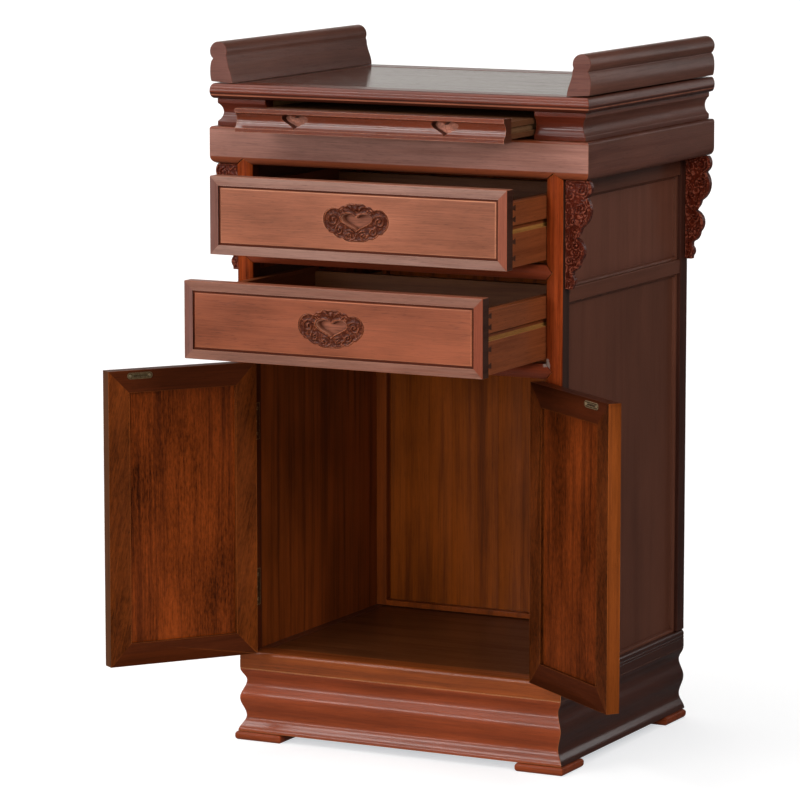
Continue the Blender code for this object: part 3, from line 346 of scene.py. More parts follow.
def mitred_ring(profile, plan):
    """A closed profile of (stand-out, height) pairs run round four mitred corners. The plan gives the
    corners' lines as low x, high x, low y, high y. Only what lies deeper than a hollow turns the back."""
    x0, x1, y0, y1 = plan
    shape = bmesh.new()

    def corner(i, out, z):
        x = x0 - out if i in (0, 1) else x1 + out
        y_back = y1 + (out if out < DEEPEST_HOLLOW else 0.0)
        return x, y_back if i in (0, 3) else y0 - out, z

    line = [shape.verts.new(corner(0, out, z)) for out, z in profile]
    edges = [shape.edges.new((a, b)) for a, b in zip(line, line[1:] + line[:1])]
    for i in (1, 2, 3, 4):
        grown = bmesh.ops.extrude_edge_only(shape, edges=edges)
        fresh = set(new_verts(grown))
        edges = [item for item in grown["geom"] if isinstance(item, bmesh.types.BMEdge)
                 and item.verts[0] in fresh and item.verts[1] in fresh]
        for face in (item for item in grown["geom"] if isinstance(item, bmesh.types.BMFace)):
            face.material_index = i % 2
        line = [next(edge.other_vert(vert) for edge in vert.link_edges if edge.other_vert(vert) in fresh)
                for vert in line]
        for vert, (out, z) in zip(line, profile):
            vert.co = corner(i % 4, out, z)
    bmesh.ops.remove_doubles(shape, verts=shape.verts, dist=0.00001)
    bmesh.ops.recalc_face_normals(shape, faces=shape.faces)
    return shape


def plan_inside(low, high, overhang=0.0):
    """The corner lines of a ring that fills a box and stands out past them by an overhang."""
    return low.x + overhang, high.x - overhang, low.y + overhang, high.y


def arc_points(centre_a, centre_b, radius_a, radius_b, start, end, steps):
    """Points along an arc, angles in degrees."""
    turns = [radians(start + (end - start) * i / steps) for i in range(steps + 1)]
    return [(centre_a + radius_a * cos(t), centre_b + radius_b * sin(t)) for t in turns]


PLINTH_TURNS = ((0.0, 0.0022), (0.0205, -0.0064), (0.046, 0.0003), (0.0695, -0.0068), (0.0867, 0.0))
PLINTH_BOARD = 0.0315
low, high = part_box("plinth")
wave = [(out, low.z + z) for z, out in wave_points(PLINTH_TURNS, 12)]
wave += [(-PLINTH_BOARD, high.z), (-PLINTH_BOARD, low.z)]
shape = mitred_ring(wave, plan_inside(low, high, PLINTH_TURNS[0][1]))
ease_arrises(shape, 0.0006, 2, over=50.0)
# A darker copy of the red for the runs along the sides, as painted shade.
SIDE_RED_PAINTED_SHADE = (0.130, 0.047, 0.031)
red_along_y = timber("red moulding along y", "Y", SIDE_RED_PAINTED_SHADE, RED_STREAK, shift=0.3, rubbed=0.3)
# The pale gold on the plinth's top arris and the base frame's rounded edge is partly wear and partly a
# painted highlight line; the plinth's wide hollow setting darkens its hollows with painted shade.
GOLD_WEAR_AND_HIGHLIGHT = (0.560, 0.260, 0.090)
red_along_x = timber("red moulding along x", "X", RED, RED_STREAK, streaks=0.3, rubbed=0.8, pale=GOLD_WEAR_AND_HIGHLIGHT,
                     hollow=0.025, coat=0.6)
base_front = timber("base frame timber", "X", (0.210, 0.047, 0.010), (0.09, 0.018, 0.004), streaks=0.6,
                    rubbed=0.6, pale=GOLD_WEAR_AND_HIGHLIGHT, coat=0.5, shift=0.1)
# The plinth's and base frame's side runs are coloured near black as a painted shadow of the open door.
plinth_side_painted_shadow = timber("plinth side painted shadow timber", "Y", (0.050, 0.014, 0.008), RED_STREAK, coat=0.5,
                     pale=(0.2, 0.07, 0.03))
fit_piece("plinth_moulding", shape, [red_along_x, plinth_side_painted_shadow], "carcass", ["plinth"])

# Base frame and cupboard floor
# A mitred frame on the plinth, its front edge rounded over and its side faces run with two fine beads.
# The floor board lies in its rebate, wide planks lacquered dark.
BASE_ROUND = 0.006
BASE_WIDTH = 0.0315
BEAD_LINES_BELOW_TOP = (0.0125, 0.0085)
BEAD_LINE_DEPTH = 0.0009
BEAD_LINE_HALF_WIDTH = 0.0008
low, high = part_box("base_frame")
edge_line = [(0.0, low.z)]
for below in BEAD_LINES_BELOW_TOP:
    z = high.z - below
    edge_line += [(0.0, z - BEAD_LINE_HALF_WIDTH), (-BEAD_LINE_DEPTH, z), (0.0, z + BEAD_LINE_HALF_WIDTH)]
edge_line += arc_points(-BASE_ROUND, high.z - BASE_ROUND, BASE_ROUND, BASE_ROUND, 0, 90, 8)
edge_line += [(-BASE_WIDTH, high.z), (-BASE_WIDTH, low.z)]
shape = mitred_ring(edge_line, plan_inside(low, high))
for vert in shape.verts:
    if abs(vert.co.y - low.y - BEAD_LINE_DEPTH) < 0.00001:
        vert.co.y = low.y
fit_piece("base_frame_moulding", shape, [base_front, plinth_side_painted_shadow], "carcass",
          ["base_frame"])
INSIDE = (0.210, 0.043, 0.007)
INSIDE_STREAK = (0.022, 0.006, 0.003)
shape = solid_of("floor_board")
floor_timber = timber("floor timber", "X", (0.090, 0.027, 0.008), INSIDE_STREAK, fineness=45.0,
                      roughness=0.36, coat=0.25)
fit_piece("floor_planks", shape, [floor_timber], "carcass", ["floor_board"])

# Posts and drawer rails
# Square posts with a crowned front, their tips let into the beam above. The drawer rails have the same
# crown and meet the posts in pointed mitres, where pale grey spots are painted on the right post's edge and
# the lower rail's end.
POST = (0.225, 0.036, 0.007)
POST_STREAK = (0.075, 0.008, 0.002)
PALE_SPOT_SPACING = 0.0035
rail_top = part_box("drawer_rail_lower")[1].z
post_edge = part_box("front_post_right")[0]
pale_spots = [(post_edge.x + 0.001, post_edge.y + 0.001, rail_top + 0.002 - PALE_SPOT_SPACING * step)
         for step in range(4)]
# The posts' inner and outer side faces are coloured much darker than their fronts as painted shade.
post_inside_painted_shade = timber("front post inside painted shade", "Z", (0.060, 0.012, 0.004), INSIDE_STREAK, shift=0.35)
post_outside_painted_shade = timber("front post outside painted shade", "Z", (0.045, 0.019, 0.013), (0.020, 0.008, 0.005), shift=0.45)
for i, side in enumerate(("left", "right")):
    shape = solid_of("front_post_" + side)
    for face in shape.faces:
        if abs(face.normal.x) > 0.95:
            face.material_index = 1 if face.normal.x * (-1, 1)[i] < 0 else 2
    ease_arrises(shape, 0.0009, 2)
    # The posts' arrises are painted pale orange, partly as wear and partly as a painted highlight line.
    post_timber = timber("front post timber " + side, "Z", POST, POST_STREAK, streaks=0.9, fineness=260.0,
                         fibre=0.9, mottle=1.8, pale_spots=pale_spots if side == "right" else (), shift=0.11 * i,
                         rubbed=0.9, pale=(0.60, 0.22, 0.05), specular=0.06, roughness=0.4)
    fit_piece("front_post_crowned_" + side, shape, [post_timber, post_inside_painted_shade, post_outside_painted_shade], "carcass",
              ["front_post_" + side])
    rear_timber = timber("rear post timber " + side, "Z", (0.062, 0.020, 0.013), (0.022, 0.006, 0.004),
                         shift=0.2 + 0.1 * i, rubbed=0.5)
    eased_piece("rear_post_squared_" + side, "rear_post_" + side, [rear_timber], "carcass",
                0.0012, 3)
for i, level in enumerate(("lower", "upper")):
    rail_timber = timber("drawer rail timber " + level, "X", (0.180, 0.032, 0.012), RED_STREAK,
                         shift=0.4 + 0.1 * i, rubbed=0.7, coat=0.4, pale_spots=pale_spots[:1] if i == 0 else ())
    eased_piece("drawer_rail_crowned_" + level, "drawer_rail_" + level, [rail_timber], "carcass",
                0.0007)

# Side walls
# Rails between the posts and a thin panel above and below the middle one, each panel held by a fine
# bead mitred round its edge. The sides are coloured darker than the front, almost plum brown, as painted
# shade, and the upper panels a little lighter as painted light.
# Darker copies of the front's colours as painted shade; the upper panels get a lighter copy as painted light.
SIDE_PAINTED_SHADE = (0.118, 0.040, 0.023)
SIDE_STREAK = (0.065, 0.022, 0.013)
SIDE_UPPER_PAINTED_LIGHT = (0.160, 0.056, 0.034)
PANEL_FIGURE = {"streaks": 0.25, "fineness": 60.0, "fibre": 0.25, "mottle": 0.35, "roughness": 0.36}
BEAD_WIDTH = 0.0042
BEAD_HEIGHT = 0.0050


def panel_bead(low, high, face_x, outwards):
    """A quarter-round strip mitred round a panel's edge, standing on the panel's face."""
    shape = bmesh.new()
    section = [(0.0, 0.0), (0.0, BEAD_HEIGHT)]
    section += arc_points(0.0, 0.0, BEAD_WIDTH, BEAD_HEIGHT, 80, 0, 5)
    loops = []
    for inset, lift in section:
        x = face_x + outwards * lift
        corners = [(x, low.y + inset, low.z + inset), (x, high.y - inset, low.z + inset),
                   (x, high.y - inset, high.z - inset), (x, low.y + inset, high.z - inset)]
        loop = [shape.verts.new(corner) for corner in corners]
        loops.append([shape.edges.new((a, b)) for a, b in zip(loop, loop[1:] + loop[:1])])
    for loop, following in zip(loops, loops[1:] + loops[:1]):
        bmesh.ops.bridge_loops(shape, edges=loop + following)
    for face in shape.faces:
        middle = face.calc_center_median()
        across = min(middle.y - low.y, high.y - middle.y) < min(middle.z - low.z, high.z - middle.z)
        face.material_index = 0 if across else 1
    bmesh.ops.recalc_face_normals(shape, faces=shape.faces)
    return shape


for i, side in enumerate(("left", "right")):
    outwards = (-1, 1)[i]
    upright = timber("side panel timber " + side, "Z", SIDE_PAINTED_SHADE, SIDE_STREAK, shift=0.5 + 0.1 * i, **PANEL_FIGURE)
    upper = timber("upper side panel timber " + side, "Z", SIDE_UPPER_PAINTED_LIGHT, SIDE_STREAK, shift=0.8 + 0.1 * i,
                   **PANEL_FIGURE)
    level = timber("side rail timber " + side, "Y", SIDE_PAINTED_SHADE, SIDE_STREAK, streaks=0.25, fibre=0.3,
                   shift=0.7 + 0.1 * i, roughness=0.36)
    lining = timber("side panel inside " + side, "Z", INSIDE, INSIDE_STREAK, streaks=0.6, mottle=0.9,
                    shift=0.6 + 0.1 * i, roughness=0.36)
    for part in ("side_mid_rail_", "side_top_rail_"):
        eased_piece(part + "eased_" + side, part + side, [level], "carcass", 0.0008)
    for part in ("lower", "upper"):
        node = part + "_side_panel_" + side
        low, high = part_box(node)
        shape = solid_of(node)
        for face in shape.faces:
            face.material_index = 1 if face.normal.x * outwards < -0.9 else 0
        boards = upright if part == "lower" else upper
        fit_piece(part + "_side_boards_" + side, shape, [boards, lining], "carcass", [node])
        shape = panel_bead(low, high, high.x if outwards > 0 else low.x, outwards)
        fit_piece(part + "_side_bead_" + side, shape, [upright, level], "carcass")

# Back
# Narrow upright boards of the same hardwood with V-grooves between them, set in a slim frame between the
# rear posts and stained warm where the open cupboard shows them.
BACK_BOARDS = 12
BOARD_GROOVE = 0.0016


def score(shape, place, facing):
    """A line cut into every face of a shape along a plane, which keeps both sides."""
    bmesh.ops.bisect_plane(shape, geom=shape.verts[:] + shape.edges[:] + shape.faces[:], plane_co=place,
                           plane_no=facing)


low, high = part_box("back_panel")
shape = solid_of("back_panel")
for i in range(1, BACK_BOARDS):
    middle = low.x + (high.x - low.x) * i / BACK_BOARDS
    for offset in (-BOARD_GROOVE, 0.0, BOARD_GROOVE):
        score(shape, (middle + offset, 0.0, 0.0), (1.0, 0.0, 0.0))
    for vert in shape.verts:
        if abs(vert.co.x - middle) < 0.0001:
            vert.co.y += BOARD_GROOVE if vert.co.y < (low.y + high.y) / 2 else -BOARD_GROOVE
BACK = (0.240, 0.052, 0.005)
back_timber = timber("back board timber", "Z", BACK, (0.075, 0.016, 0.004), streaks=0.75, fineness=75.0,
                     mottle=0.9, roughness=0.36, coat=0.25, shift=0.9)
fit_piece("back_boards", shape, [back_timber], "carcass", ["back_panel"])
inner_timber = timber("back frame timber", "Z", INSIDE, INSIDE_STREAK, shift=1.1)
eased_piece("back_frame_eased", "back_frame", [inner_timber], "carcass", 0.0012)

# Apron and waist
# A heavy beam rounded under, then a coved ring with a slot for the shelf. Both are mitred at the corners
# and run on a shaper like the plinth, so their lines carry long soft highlights.


def split_runs(shape, low, high):
    """Gives the front and back faces of a mitred ring the first finish and the end faces the second."""
    for face in shape.faces:
        middle = face.calc_center_median()
        from_end = min(middle.x - low.x, high.x - middle.x)
        from_front = min(middle.y - low.y, high.y - middle.y)
        face.material_index = 1 if from_end < from_front else 0


waist_front = timber("waist timber", "X", (0.085, 0.013, 0.005), (0.050, 0.008, 0.003), streaks=0.3,
                     rubbed=0.7, coat=0.6)
apron_edge = timber("apron edge timber", "X", (0.190, 0.044, 0.017), RED_STREAK, streaks=0.3, coat=0.3,
                    shift=0.8)
# The apron's flat front face gets a paler, greyer copy of its red as painted light lifting the shade under
# the shelf.
apron_front_painted_light = timber("apron front painted light timber", "X", (0.262, 0.116, 0.087), (0.160, 0.060, 0.040), shift=0.8,
                     roughness=0.4, mottle=0.7)
for node, easing in (("apron", 0.0007), ("waist", 0.0006)):
    low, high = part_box(node)
    shape = solid_of(node)
    ease_arrises(shape, easing, 2, over=38.0)
    split_runs(shape, low, high)
    for face in shape.faces:
        if node == "apron" and face.normal.y < -0.99 and face.calc_center_median().y < low.y + 0.004:
            face.material_index = 2
    finishes = [apron_edge if node == "apron" else waist_front, red_along_y, apron_front_painted_light]
    fit_piece(node + "_moulding", shape, finishes, "carcass", [node])

# Drawer runners and shelf guides
# Plain hardwood strips, planed and left unlacquered, fixed inside the side walls, so that the drawers and
# the shelf slide on them.
BARE = (0.300, 0.150, 0.062)
BARE_STREAK = (0.130, 0.050, 0.020)
bare_timber = timber("bare runner timber", "Y", BARE, BARE_STREAK, roughness=0.55, coat=0.0, rubbed=0.2)
for node in ("lower_drawer_runner_left", "lower_drawer_runner_right", "upper_drawer_runner_left",
             "upper_drawer_runner_right", "shelf_guide_left", "shelf_guide_right"):
    eased_piece(node + "_planed", node, [bare_timber], "carcass", 0.0005)

# Drawers
# Each front is a wide polished board with a mitred border, a fine groove coloured dark as painted shade and
# a carved pull in the middle. The sides are red-brown hardwood, ploughed with a bare groove and dovetailed
# to the front.
BORDER_WIDTH = 0.0125
GROOVE_WIDTH = 0.0024
GROOVE_DEPTH = 0.0020
GROOVE_SLOPE = 0.0003
PANEL_EASE = 0.0014
MEDALLION_HALF_WIDTH = 0.04775
MEDALLION_HALF_HEIGHT = 0.02475
POCKET_DEPTH = 0.0026
PULL_GROUND = 0.0012
PULL_LEVEL = 0.0010
PULL_VOXEL = 0.0005
HEART_SIZE = (0.046, 0.023)
HEART_DEPTH = 0.011
HEART_TAPER = 0.86
HEART_HALF_REACH = 0.035
PULL_HALF_REACH = (0.06, 0.03)
SIDE_GROOVE = (-0.0055, -0.0012)
SIDE_GROOVE_FLOOR = 0.0008
DOVETAIL_SHARES = (0.27, 0.76)
DOVETAIL_LENGTH = 0.007
DOVETAIL_START = 0.0004
DOVETAIL_HALF_WIDTHS = (0.0022, 0.0040)
PIN_PROUD = 0.0003
RUNNER_HALF_GROOVE = 0.005


def heart_outline(width, height, count):
    """A broad heart, tip down, centred on its own middle."""
    raw = []
    for i in range(count):
        t = 2 * pi * i / count
        raw.append((sin(t) ** 3, 13 * cos(t) - 5 * cos(2 * t) - 2 * cos(3 * t) - cos(4 * t)))
    low, high = min(b for a, b in raw), max(b for a, b in raw)
    return [(a * width / 2, (b - (low + high) / 2) / (high - low) * height) for a, b in raw]


def scalloped_outline(count):
    """The carved pull's edge: a broad dome on top, a round lobe each side and small lobes below."""
    half_w, half_h = MEDALLION_HALF_WIDTH, MEDALLION_HALF_HEIGHT
    lobes = [(0.0, 0.0, 0.56 * half_w)]
    for side in (-1, 1):
        lobes += [(side * 0.66 * half_w, 0.10 * half_h, 0.34 * half_w),
                  (side * 0.46 * half_w, -0.30 * half_h, 0.28 * half_w),
                  (side * 0.20 * half_w, -0.46 * half_h, 0.28 * half_w)]
    outline = []
    for i in range(count):
        t = 2 * pi * i / count
        far = 0.0
        for x, z, radius in lobes:
            along = cos(t) * x + sin(t) * z
            inside = along ** 2 - (x * x + z * z) + radius ** 2
            if inside >= 0:
                far = max(far, along + sqrt(inside))
        outline.append((far * cos(t), max(-half_h, min(half_h, far * sin(t)))))
    return outline


def block(low, high):
    """A plain block between two corners."""
    shape = bmesh.new()
    low, high = Vector(low), Vector(high)
    bmesh.ops.create_cube(shape, size=1.0, matrix=Matrix.Translation((low + high) / 2)
                          @ Matrix.Diagonal((*(high - low), 1.0)))
    return shape


def plate_shape(outline, centre, front_y, back_y, far_scale=1.0):
    """A flat plate of an outline that faces the front, its back drawn in by a scale."""
    shape = bmesh.new()
    verts = [shape.verts.new((centre[0] + u, front_y, centre[1] + v)) for u, v in outline]
    face = shape.faces.new(verts)
    far = new_verts(bmesh.ops.extrude_face_region(shape, geom=[face]))
    bmesh.ops.scale(shape, vec=(far_scale, 1.0, far_scale), verts=far,
                    space=Matrix.Translation((-centre[0], 0.0, -centre[1])))
    bmesh.ops.translate(shape, vec=(0.0, back_y - front_y, 0.0), verts=far)
    bmesh.ops.recalc_face_normals(shape, faces=shape.faces)
    return shape


def worked_on(shape, add_modifiers):
    """Runs modifiers on a bmesh and gives the result back as a bmesh."""
    mesh = mesh_of(shape, "blank")
    blank = placed("blank", mesh)
    add_modifiers(blank)
    result = bmesh.new()
    worked = blank.evaluated_get(bpy.context.evaluated_depsgraph_get())
    result.from_mesh(worked.data)
    bpy.data.objects.remove(blank)
    bpy.data.meshes.remove(mesh)
    return result


def cut_out(shape, tools):
    """Cuts each tool's shape from a bmesh."""
    for tool in tools:
        tool_mesh = mesh_of(tool, "cutter")
        cutter = placed("cutter", tool_mesh)

        def add_cut(blank):
            cut = blank.modifiers.new("cut", "BOOLEAN")
            cut.operation, cut.solver, cut.object = "DIFFERENCE", "EXACT", cutter

        shape = worked_on(shape, add_cut)
        bpy.data.objects.remove(cutter)
        bpy.data.meshes.remove(tool_mesh)
    return shape


def spiral(centre, size, turns, start, direction, thick):
    """A scroll that winds inwards and ends in a bead, as (across, up, radius) points."""
    steps = int(26 * turns)
    points = []
    for i in range(steps + 1):
        share = i / steps
        t = radians(start) + direction * 2 * pi * turns * share
        reach = size * (1 - 0.80 * share)
        points.append((centre[0] + reach * cos(t), centre[1] + reach * sin(t),
                       thick * (1.0 - 0.35 * share)))
    points.append((centre[0], centre[1], thick * 1.25))
    return points


def leaf(start, end, bow, thick):
    """A leaf that swells from a point, bows to one side and closes to a point again."""
    dx, dz = end[0] - start[0], end[1] - start[1]
    points = []
    for i in range(13):
        share = i / 12
        side = bow * sin(pi * share)
        points.append((start[0] + dx * share - dz * side, start[1] + dz * share + dx * side,
                       thick * (0.22 + 0.78 * sin(pi * share ** 0.7))))
    return points


def carved_shape(field, ridges, beads, centre, level, voxel):
    """Carving as one skin: a field with ridges and beads fused on to it and softened by hand."""
    carving = field
    for ridge in ridges:
        curve = bpy.data.curves.new("ridge", "CURVE")
        curve.dimensions = "3D"
        curve.bevel_depth = 1.0
        curve.bevel_resolution = 2
        curve.use_fill_caps = True
        spline = curve.splines.new("POLY")
        spline.points.add(len(ridge) - 1)
        for point, (u, v, radius) in zip(spline.points, ridge):
            point.co = (centre[0] + u, level, centre[1] + v, 1.0)
            point.radius = radius
        made = placed("ridge", curve)
        mesh = bpy.data.meshes.new_from_object(made.evaluated_get(bpy.context.evaluated_depsgraph_get()))
        carving.from_mesh(mesh)
        bpy.data.objects.remove(made)
        bpy.data.curves.remove(curve)
        bpy.data.meshes.remove(mesh)
    for u, v, radius in beads:
        bmesh.ops.create_icosphere(carving, subdivisions=2, radius=radius,
                                   matrix=Matrix.Translation((centre[0] + u, level, centre[1] + v)))

    def add_skin(blank):
        skin = blank.modifiers.new("one skin", "REMESH")
        skin.mode = "VOXEL"
        skin.voxel_size = voxel

    carving = worked_on(carving, add_skin)
    for turn in range(2):
        bmesh.ops.smooth_vert(carving, verts=carving.verts, factor=0.5, use_axis_x=True, use_axis_y=True,
                              use_axis_z=True)
    return carving


def mirrored(ridges):
    """The ridges with their images on the other side of the middle."""
    return ridges + [[(-u, v, radius) for u, v, radius in ridge] for ridge in ridges]


MM = 0.001


def in_metres(points):
    """Points and radii given in millimetres, in metres."""
    return [(u * MM, v * MM, radius * MM) for u, v, radius in points]


def tinted(colour, shares):
    """A colour with each of its parts multiplied by a share."""
    return tuple(part * share for part, share in zip(colour, shares))


pull_scrolls = [spiral((33.0, 2.5), 8.6, 1.45, 150, -1, 1.75), spiral((24.0, -10.5), 6.0, 1.3, 60, -1, 1.5),
                spiral((10.5, -17.0), 5.4, 1.3, 20, -1, 1.4), spiral((19.5, 13.2), 4.4, 1.1, 200, -1, 1.3)]
pull_scrolls += [leaf((4.5, 14.5), (14.0, 20.5), 0.25, 2.0), leaf((13.5, 19.8), (27.0, 12.5), 0.22, 1.9),
                 leaf((26.0, 9.5), (24.8, -3.0), -0.35, 1.5), leaf((41.0, -6.5), (30.5, -15.0), 0.18, 1.9),
                 leaf((29.5, -15.5), (17.5, -21.0), 0.15, 1.7), leaf((13.0, -11.0), (2.5, -15.5), -0.2, 1.4),
                 leaf((8.5, -22.2), (0.6, -17.6), 0.2, 1.5), leaf((3.0, 21.8), (0.0, 12.8), -0.45, 1.2),
                 leaf((41.5, 9.0), (33.0, 14.6), 0.25, 1.6)]
pull_beads = in_metres([(0.0, 17.6, 2.7), (0.0, -16.4, 1.7), (26.5, 15.9, 1.4), (-26.5, 15.9, 1.4),
                        (17.5, -15.0, 1.2), (-17.5, -15.0, 1.2)])
rim = [(u * 0.966, v * 0.945, 1.25 * MM) for u, v in scalloped_outline(140)]
lip_size = [size + 2.2 * MM for size in HEART_SIZE]
heart_lip = [(u, v, 1.05 * MM) for u, v in heart_outline(*lip_size, 72)]
pull_ridges = mirrored([in_metres(ridge) for ridge in pull_scrolls])
pull_ridges += [rim + rim[:1], heart_lip + heart_lip[:1]]
FRONTS = ((0.212, 0.060, 0.029), (0.280, 0.095, 0.051))
FRONT_STREAK = (0.125, 0.028, 0.011)
# The carved pull's ridges are painted pale, partly as wear and partly as painted highlight, and its hollows
# dark as painted shade.
CARVED = (0.070, 0.013, 0.005)
carved_timber = timber("carved pull timber", "X", CARVED, (0.04, 0.008, 0.004), rubbed=1.0, recess=1.0,
                       edge_wear_and_highlight_radius=0.0018, hollow=0.009, roughness=0.26, coat=0.15, pale=(0.560, 0.170, 0.075),
                       carved=0.22)
PANEL, BORDER_ALONG, BORDER_UPRIGHT, END_GRAIN, GROOVE_SHADE, ARRIS_HIGHLIGHT, HEART_FLOOR, BORDER_LEFT_SHEEN = range(8)
for i, drawer in enumerate(("lower_drawer", "upper_drawer")):
    ground = FRONTS[i]
    low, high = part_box(drawer + "_front")
    middle = ((low.x + high.x) / 2, (low.z + high.z) / 2)
    shape = block(low, high)
    panel = min(shape.faces, key=lambda face: face.calc_center_median().y)
    for width, depth in ((BORDER_WIDTH, 0.0), (GROOVE_SLOPE, -GROOVE_DEPTH), (GROOVE_WIDTH, 0.0),
                         (GROOVE_SLOPE, GROOVE_DEPTH - PANEL_EASE), (PANEL_EASE, PANEL_EASE)):
        bmesh.ops.inset_region(shape, faces=[panel], thickness=width, depth=depth, use_even_offset=True)
    for face in shape.faces:
        spot = face.calc_center_median()
        on_border = spot.y < low.y + 0.0001 and face is not panel
        upright = min(spot.x - low.x, high.x - spot.x) < min(spot.z - low.z, high.z - spot.z)
        face.material_index = PANEL
        if on_border and upright:
            face.material_index = BORDER_LEFT_SHEEN if spot.x < middle[0] else BORDER_UPRIGHT
        elif on_border:
            face.material_index = BORDER_ALONG
        elif abs(face.normal.x) > 0.9:
            face.material_index = END_GRAIN
        # The groove's floor is coloured dark as painted shade.
        if face.normal.y < -0.9 and low.y + GROOVE_DEPTH / 2 < spot.y < low.y + 2 * GROOVE_DEPTH:
            face.material_index = GROOVE_SHADE
        # The panel's eased edge is coloured paler as a painted highlight line.
        elif low.y + 0.0001 < spot.y < low.y + PANEL_EASE and abs(face.normal.x) < 0.9 \
                and face.normal.y < -0.3:
            face.material_index = ARRIS_HIGHLIGHT
    outer = [edge for edge in shape.edges if edge.calc_face_angle(0.0) > radians(60)
             and (min(vert.co.x for vert in edge.verts) - low.x < BORDER_WIDTH / 2
                  or high.x - max(vert.co.x for vert in edge.verts) < BORDER_WIDTH / 2)]
    pocket = plate_shape(scalloped_outline(112), middle, low.y - POCKET_DEPTH, low.y + POCKET_DEPTH)
    heart = plate_shape(heart_outline(*HEART_SIZE, 60), middle, low.y - POCKET_DEPTH, low.y + HEART_DEPTH,
                        HEART_TAPER)
    bmesh.ops.bevel(shape, geom=outer, offset=0.0011, segments=3, profile=0.5, affect="EDGES", material=-1,
                    clamp_overlap=True)
    shape = cut_out(shape, [pocket, heart])
    for face in shape.faces:
        spot = face.calc_center_median()
        across, up = spot.x - middle[0], spot.z - middle[1]
        if spot.y > low.y + POCKET_DEPTH - 0.0001 and sqrt(across ** 2 + up ** 2) < HEART_HALF_REACH:
            face.material_index = HEART_FLOOR
        # The pocket's walls round the carved pull get the same dark finish as painted shade.
        elif low.y + 0.0001 < spot.y < low.y + POCKET_DEPTH and abs(face.normal.y) < 0.5 \
                and abs(across) < PULL_HALF_REACH[0] and abs(up) < PULL_HALF_REACH[1]:
            face.material_index = GROOVE_SHADE
    finishes = [timber(drawer + " front panel timber", "X", ground, FRONT_STREAK, streaks=0.14,
                       fineness=110.0, fibre=0.45, mottle=1.0, rubbed=0.5, shift=1.3 + 0.2 * i),
                timber(drawer + " front border along", "X", tinted(ground, (0.90, 1.40, 2.0)), FRONT_STREAK,
                       rubbed=0.6, shift=1.4 + 0.2 * i),
                timber(drawer + " front border upright", "Z", tinted(ground, (0.85, 0.72, 0.75)),
                       FRONT_STREAK, rubbed=0.6, shift=1.5 + 0.2 * i),
                timber(drawer + " front end grain", "Y", (0.055, 0.020, 0.012), (0.02, 0.006, 0.004),
                       roughness=0.5, coat=0.1),
                timber(drawer + " front groove timber", "X", (0.100, 0.018, 0.006), (0.02, 0.005, 0.002)),
                timber(drawer + " front arris timber", "X", tinted(ground, (1.5, 1.7, 1.7)), FRONT_STREAK,
                       recess=0.2),
                timber(drawer + " heart recess timber", "X", (0.240, 0.080, 0.045), (0.05, 0.012, 0.006),
                       mottle=1.6, fibre=1.0, rubbed=0.8, edge_wear_and_highlight_radius=0.004, pale=(0.40, 0.18, 0.11)),
                # The left upright border is coloured pinker and greyer than the right one as a painted sheen.
                timber(drawer + " front border left", "Z", (0.150, 0.066, 0.052), FRONT_STREAK, rubbed=0.6,
                       shift=1.6 + 0.2 * i)]
    fit_piece(drawer + "_front_board", shape, finishes, drawer, [drawer + "_front"])
    field = plate_shape(scalloped_outline(112), middle, low.y + PULL_GROUND,
                        low.y + POCKET_DEPTH + 0.0004)
    heart = heart_outline(*HEART_SIZE, 60)
    field = cut_out(field, [plate_shape(heart, middle, low.y - POCKET_DEPTH, low.y + 2 * POCKET_DEPTH)])
    carving = carved_shape(field, pull_ridges, pull_beads, middle, low.y + PULL_LEVEL, PULL_VOXEL)
    through = plate_shape(heart, middle, low.y - 2 * POCKET_DEPTH, low.y + 2 * POCKET_DEPTH)
    carving = cut_out(carving, [through])
    fit_piece(drawer + "_pull_carving", carving, [carved_timber], drawer)
    side_timber = timber(drawer + " side timber", "Y", (0.230, 0.058, 0.018), (0.090, 0.018, 0.006),
                         roughness=0.42, coat=0.15, shift=1.7 + 0.1 * i)
    groove_timber = timber(drawer + " bare groove timber", "Y", (0.46, 0.21, 0.055), BARE_STREAK,
                           roughness=0.6, coat=0.0, recess=0.4, rubbed=0.2)
    for side in ("left", "right"):
        node = drawer + "_side_" + side
        side_low, side_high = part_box(node)
        shape = solid_of(node)
        # Only the groove's lower part is coloured bare; its upper part keeps the side's darker finish as
        # painted shade under the groove's top edge.
        score(shape, (0.0, 0.0, middle[1] + SIDE_GROOVE[1]), (0.0, 0.0, 1.0))
        for face in shape.faces:
            spot = face.calc_center_median()
            in_groove = min(spot.x - side_low.x, side_high.x - spot.x) > SIDE_GROOVE_FLOOR \
                and SIDE_GROOVE[0] < spot.z - middle[1] < SIDE_GROOVE[1] and abs(face.normal.y) < 0.5
            face.material_index = 1 if in_groove else 0
        ease_arrises(shape, 0.0006, 2)
        fit_piece(node + "_board", shape, [side_timber, groove_timber], drawer, [node])
        pins = bmesh.new()
        face_x = side_high.x if side == "right" else side_low.x
        start, end = high.y - DOVETAIL_START, high.y + DOVETAIL_LENGTH
        narrow, wide = DOVETAIL_HALF_WIDTHS
        for from_z, to_z in ((side_low.z, middle[1] - RUNNER_HALF_GROOVE),
                             (middle[1] + RUNNER_HALF_GROOVE, side_high.z)):
            for share in DOVETAIL_SHARES:
                z = from_z + (to_z - from_z) * share
                corners = [(start, z - narrow), (end, z - wide), (end, z + wide), (start, z + narrow)]
                pins.faces.new([pins.verts.new((face_x - PIN_PROUD, *corner)) for corner in corners])
        grown = bmesh.ops.extrude_face_region(pins, geom=pins.faces[:])
        bmesh.ops.translate(pins, vec=(2 * PIN_PROUD, 0.0, 0.0), verts=new_verts(grown))
        bmesh.ops.recalc_face_normals(pins, faces=pins.faces)
        fit_piece(node + "_dovetail_pins", pins, [finishes[END_GRAIN]], drawer)
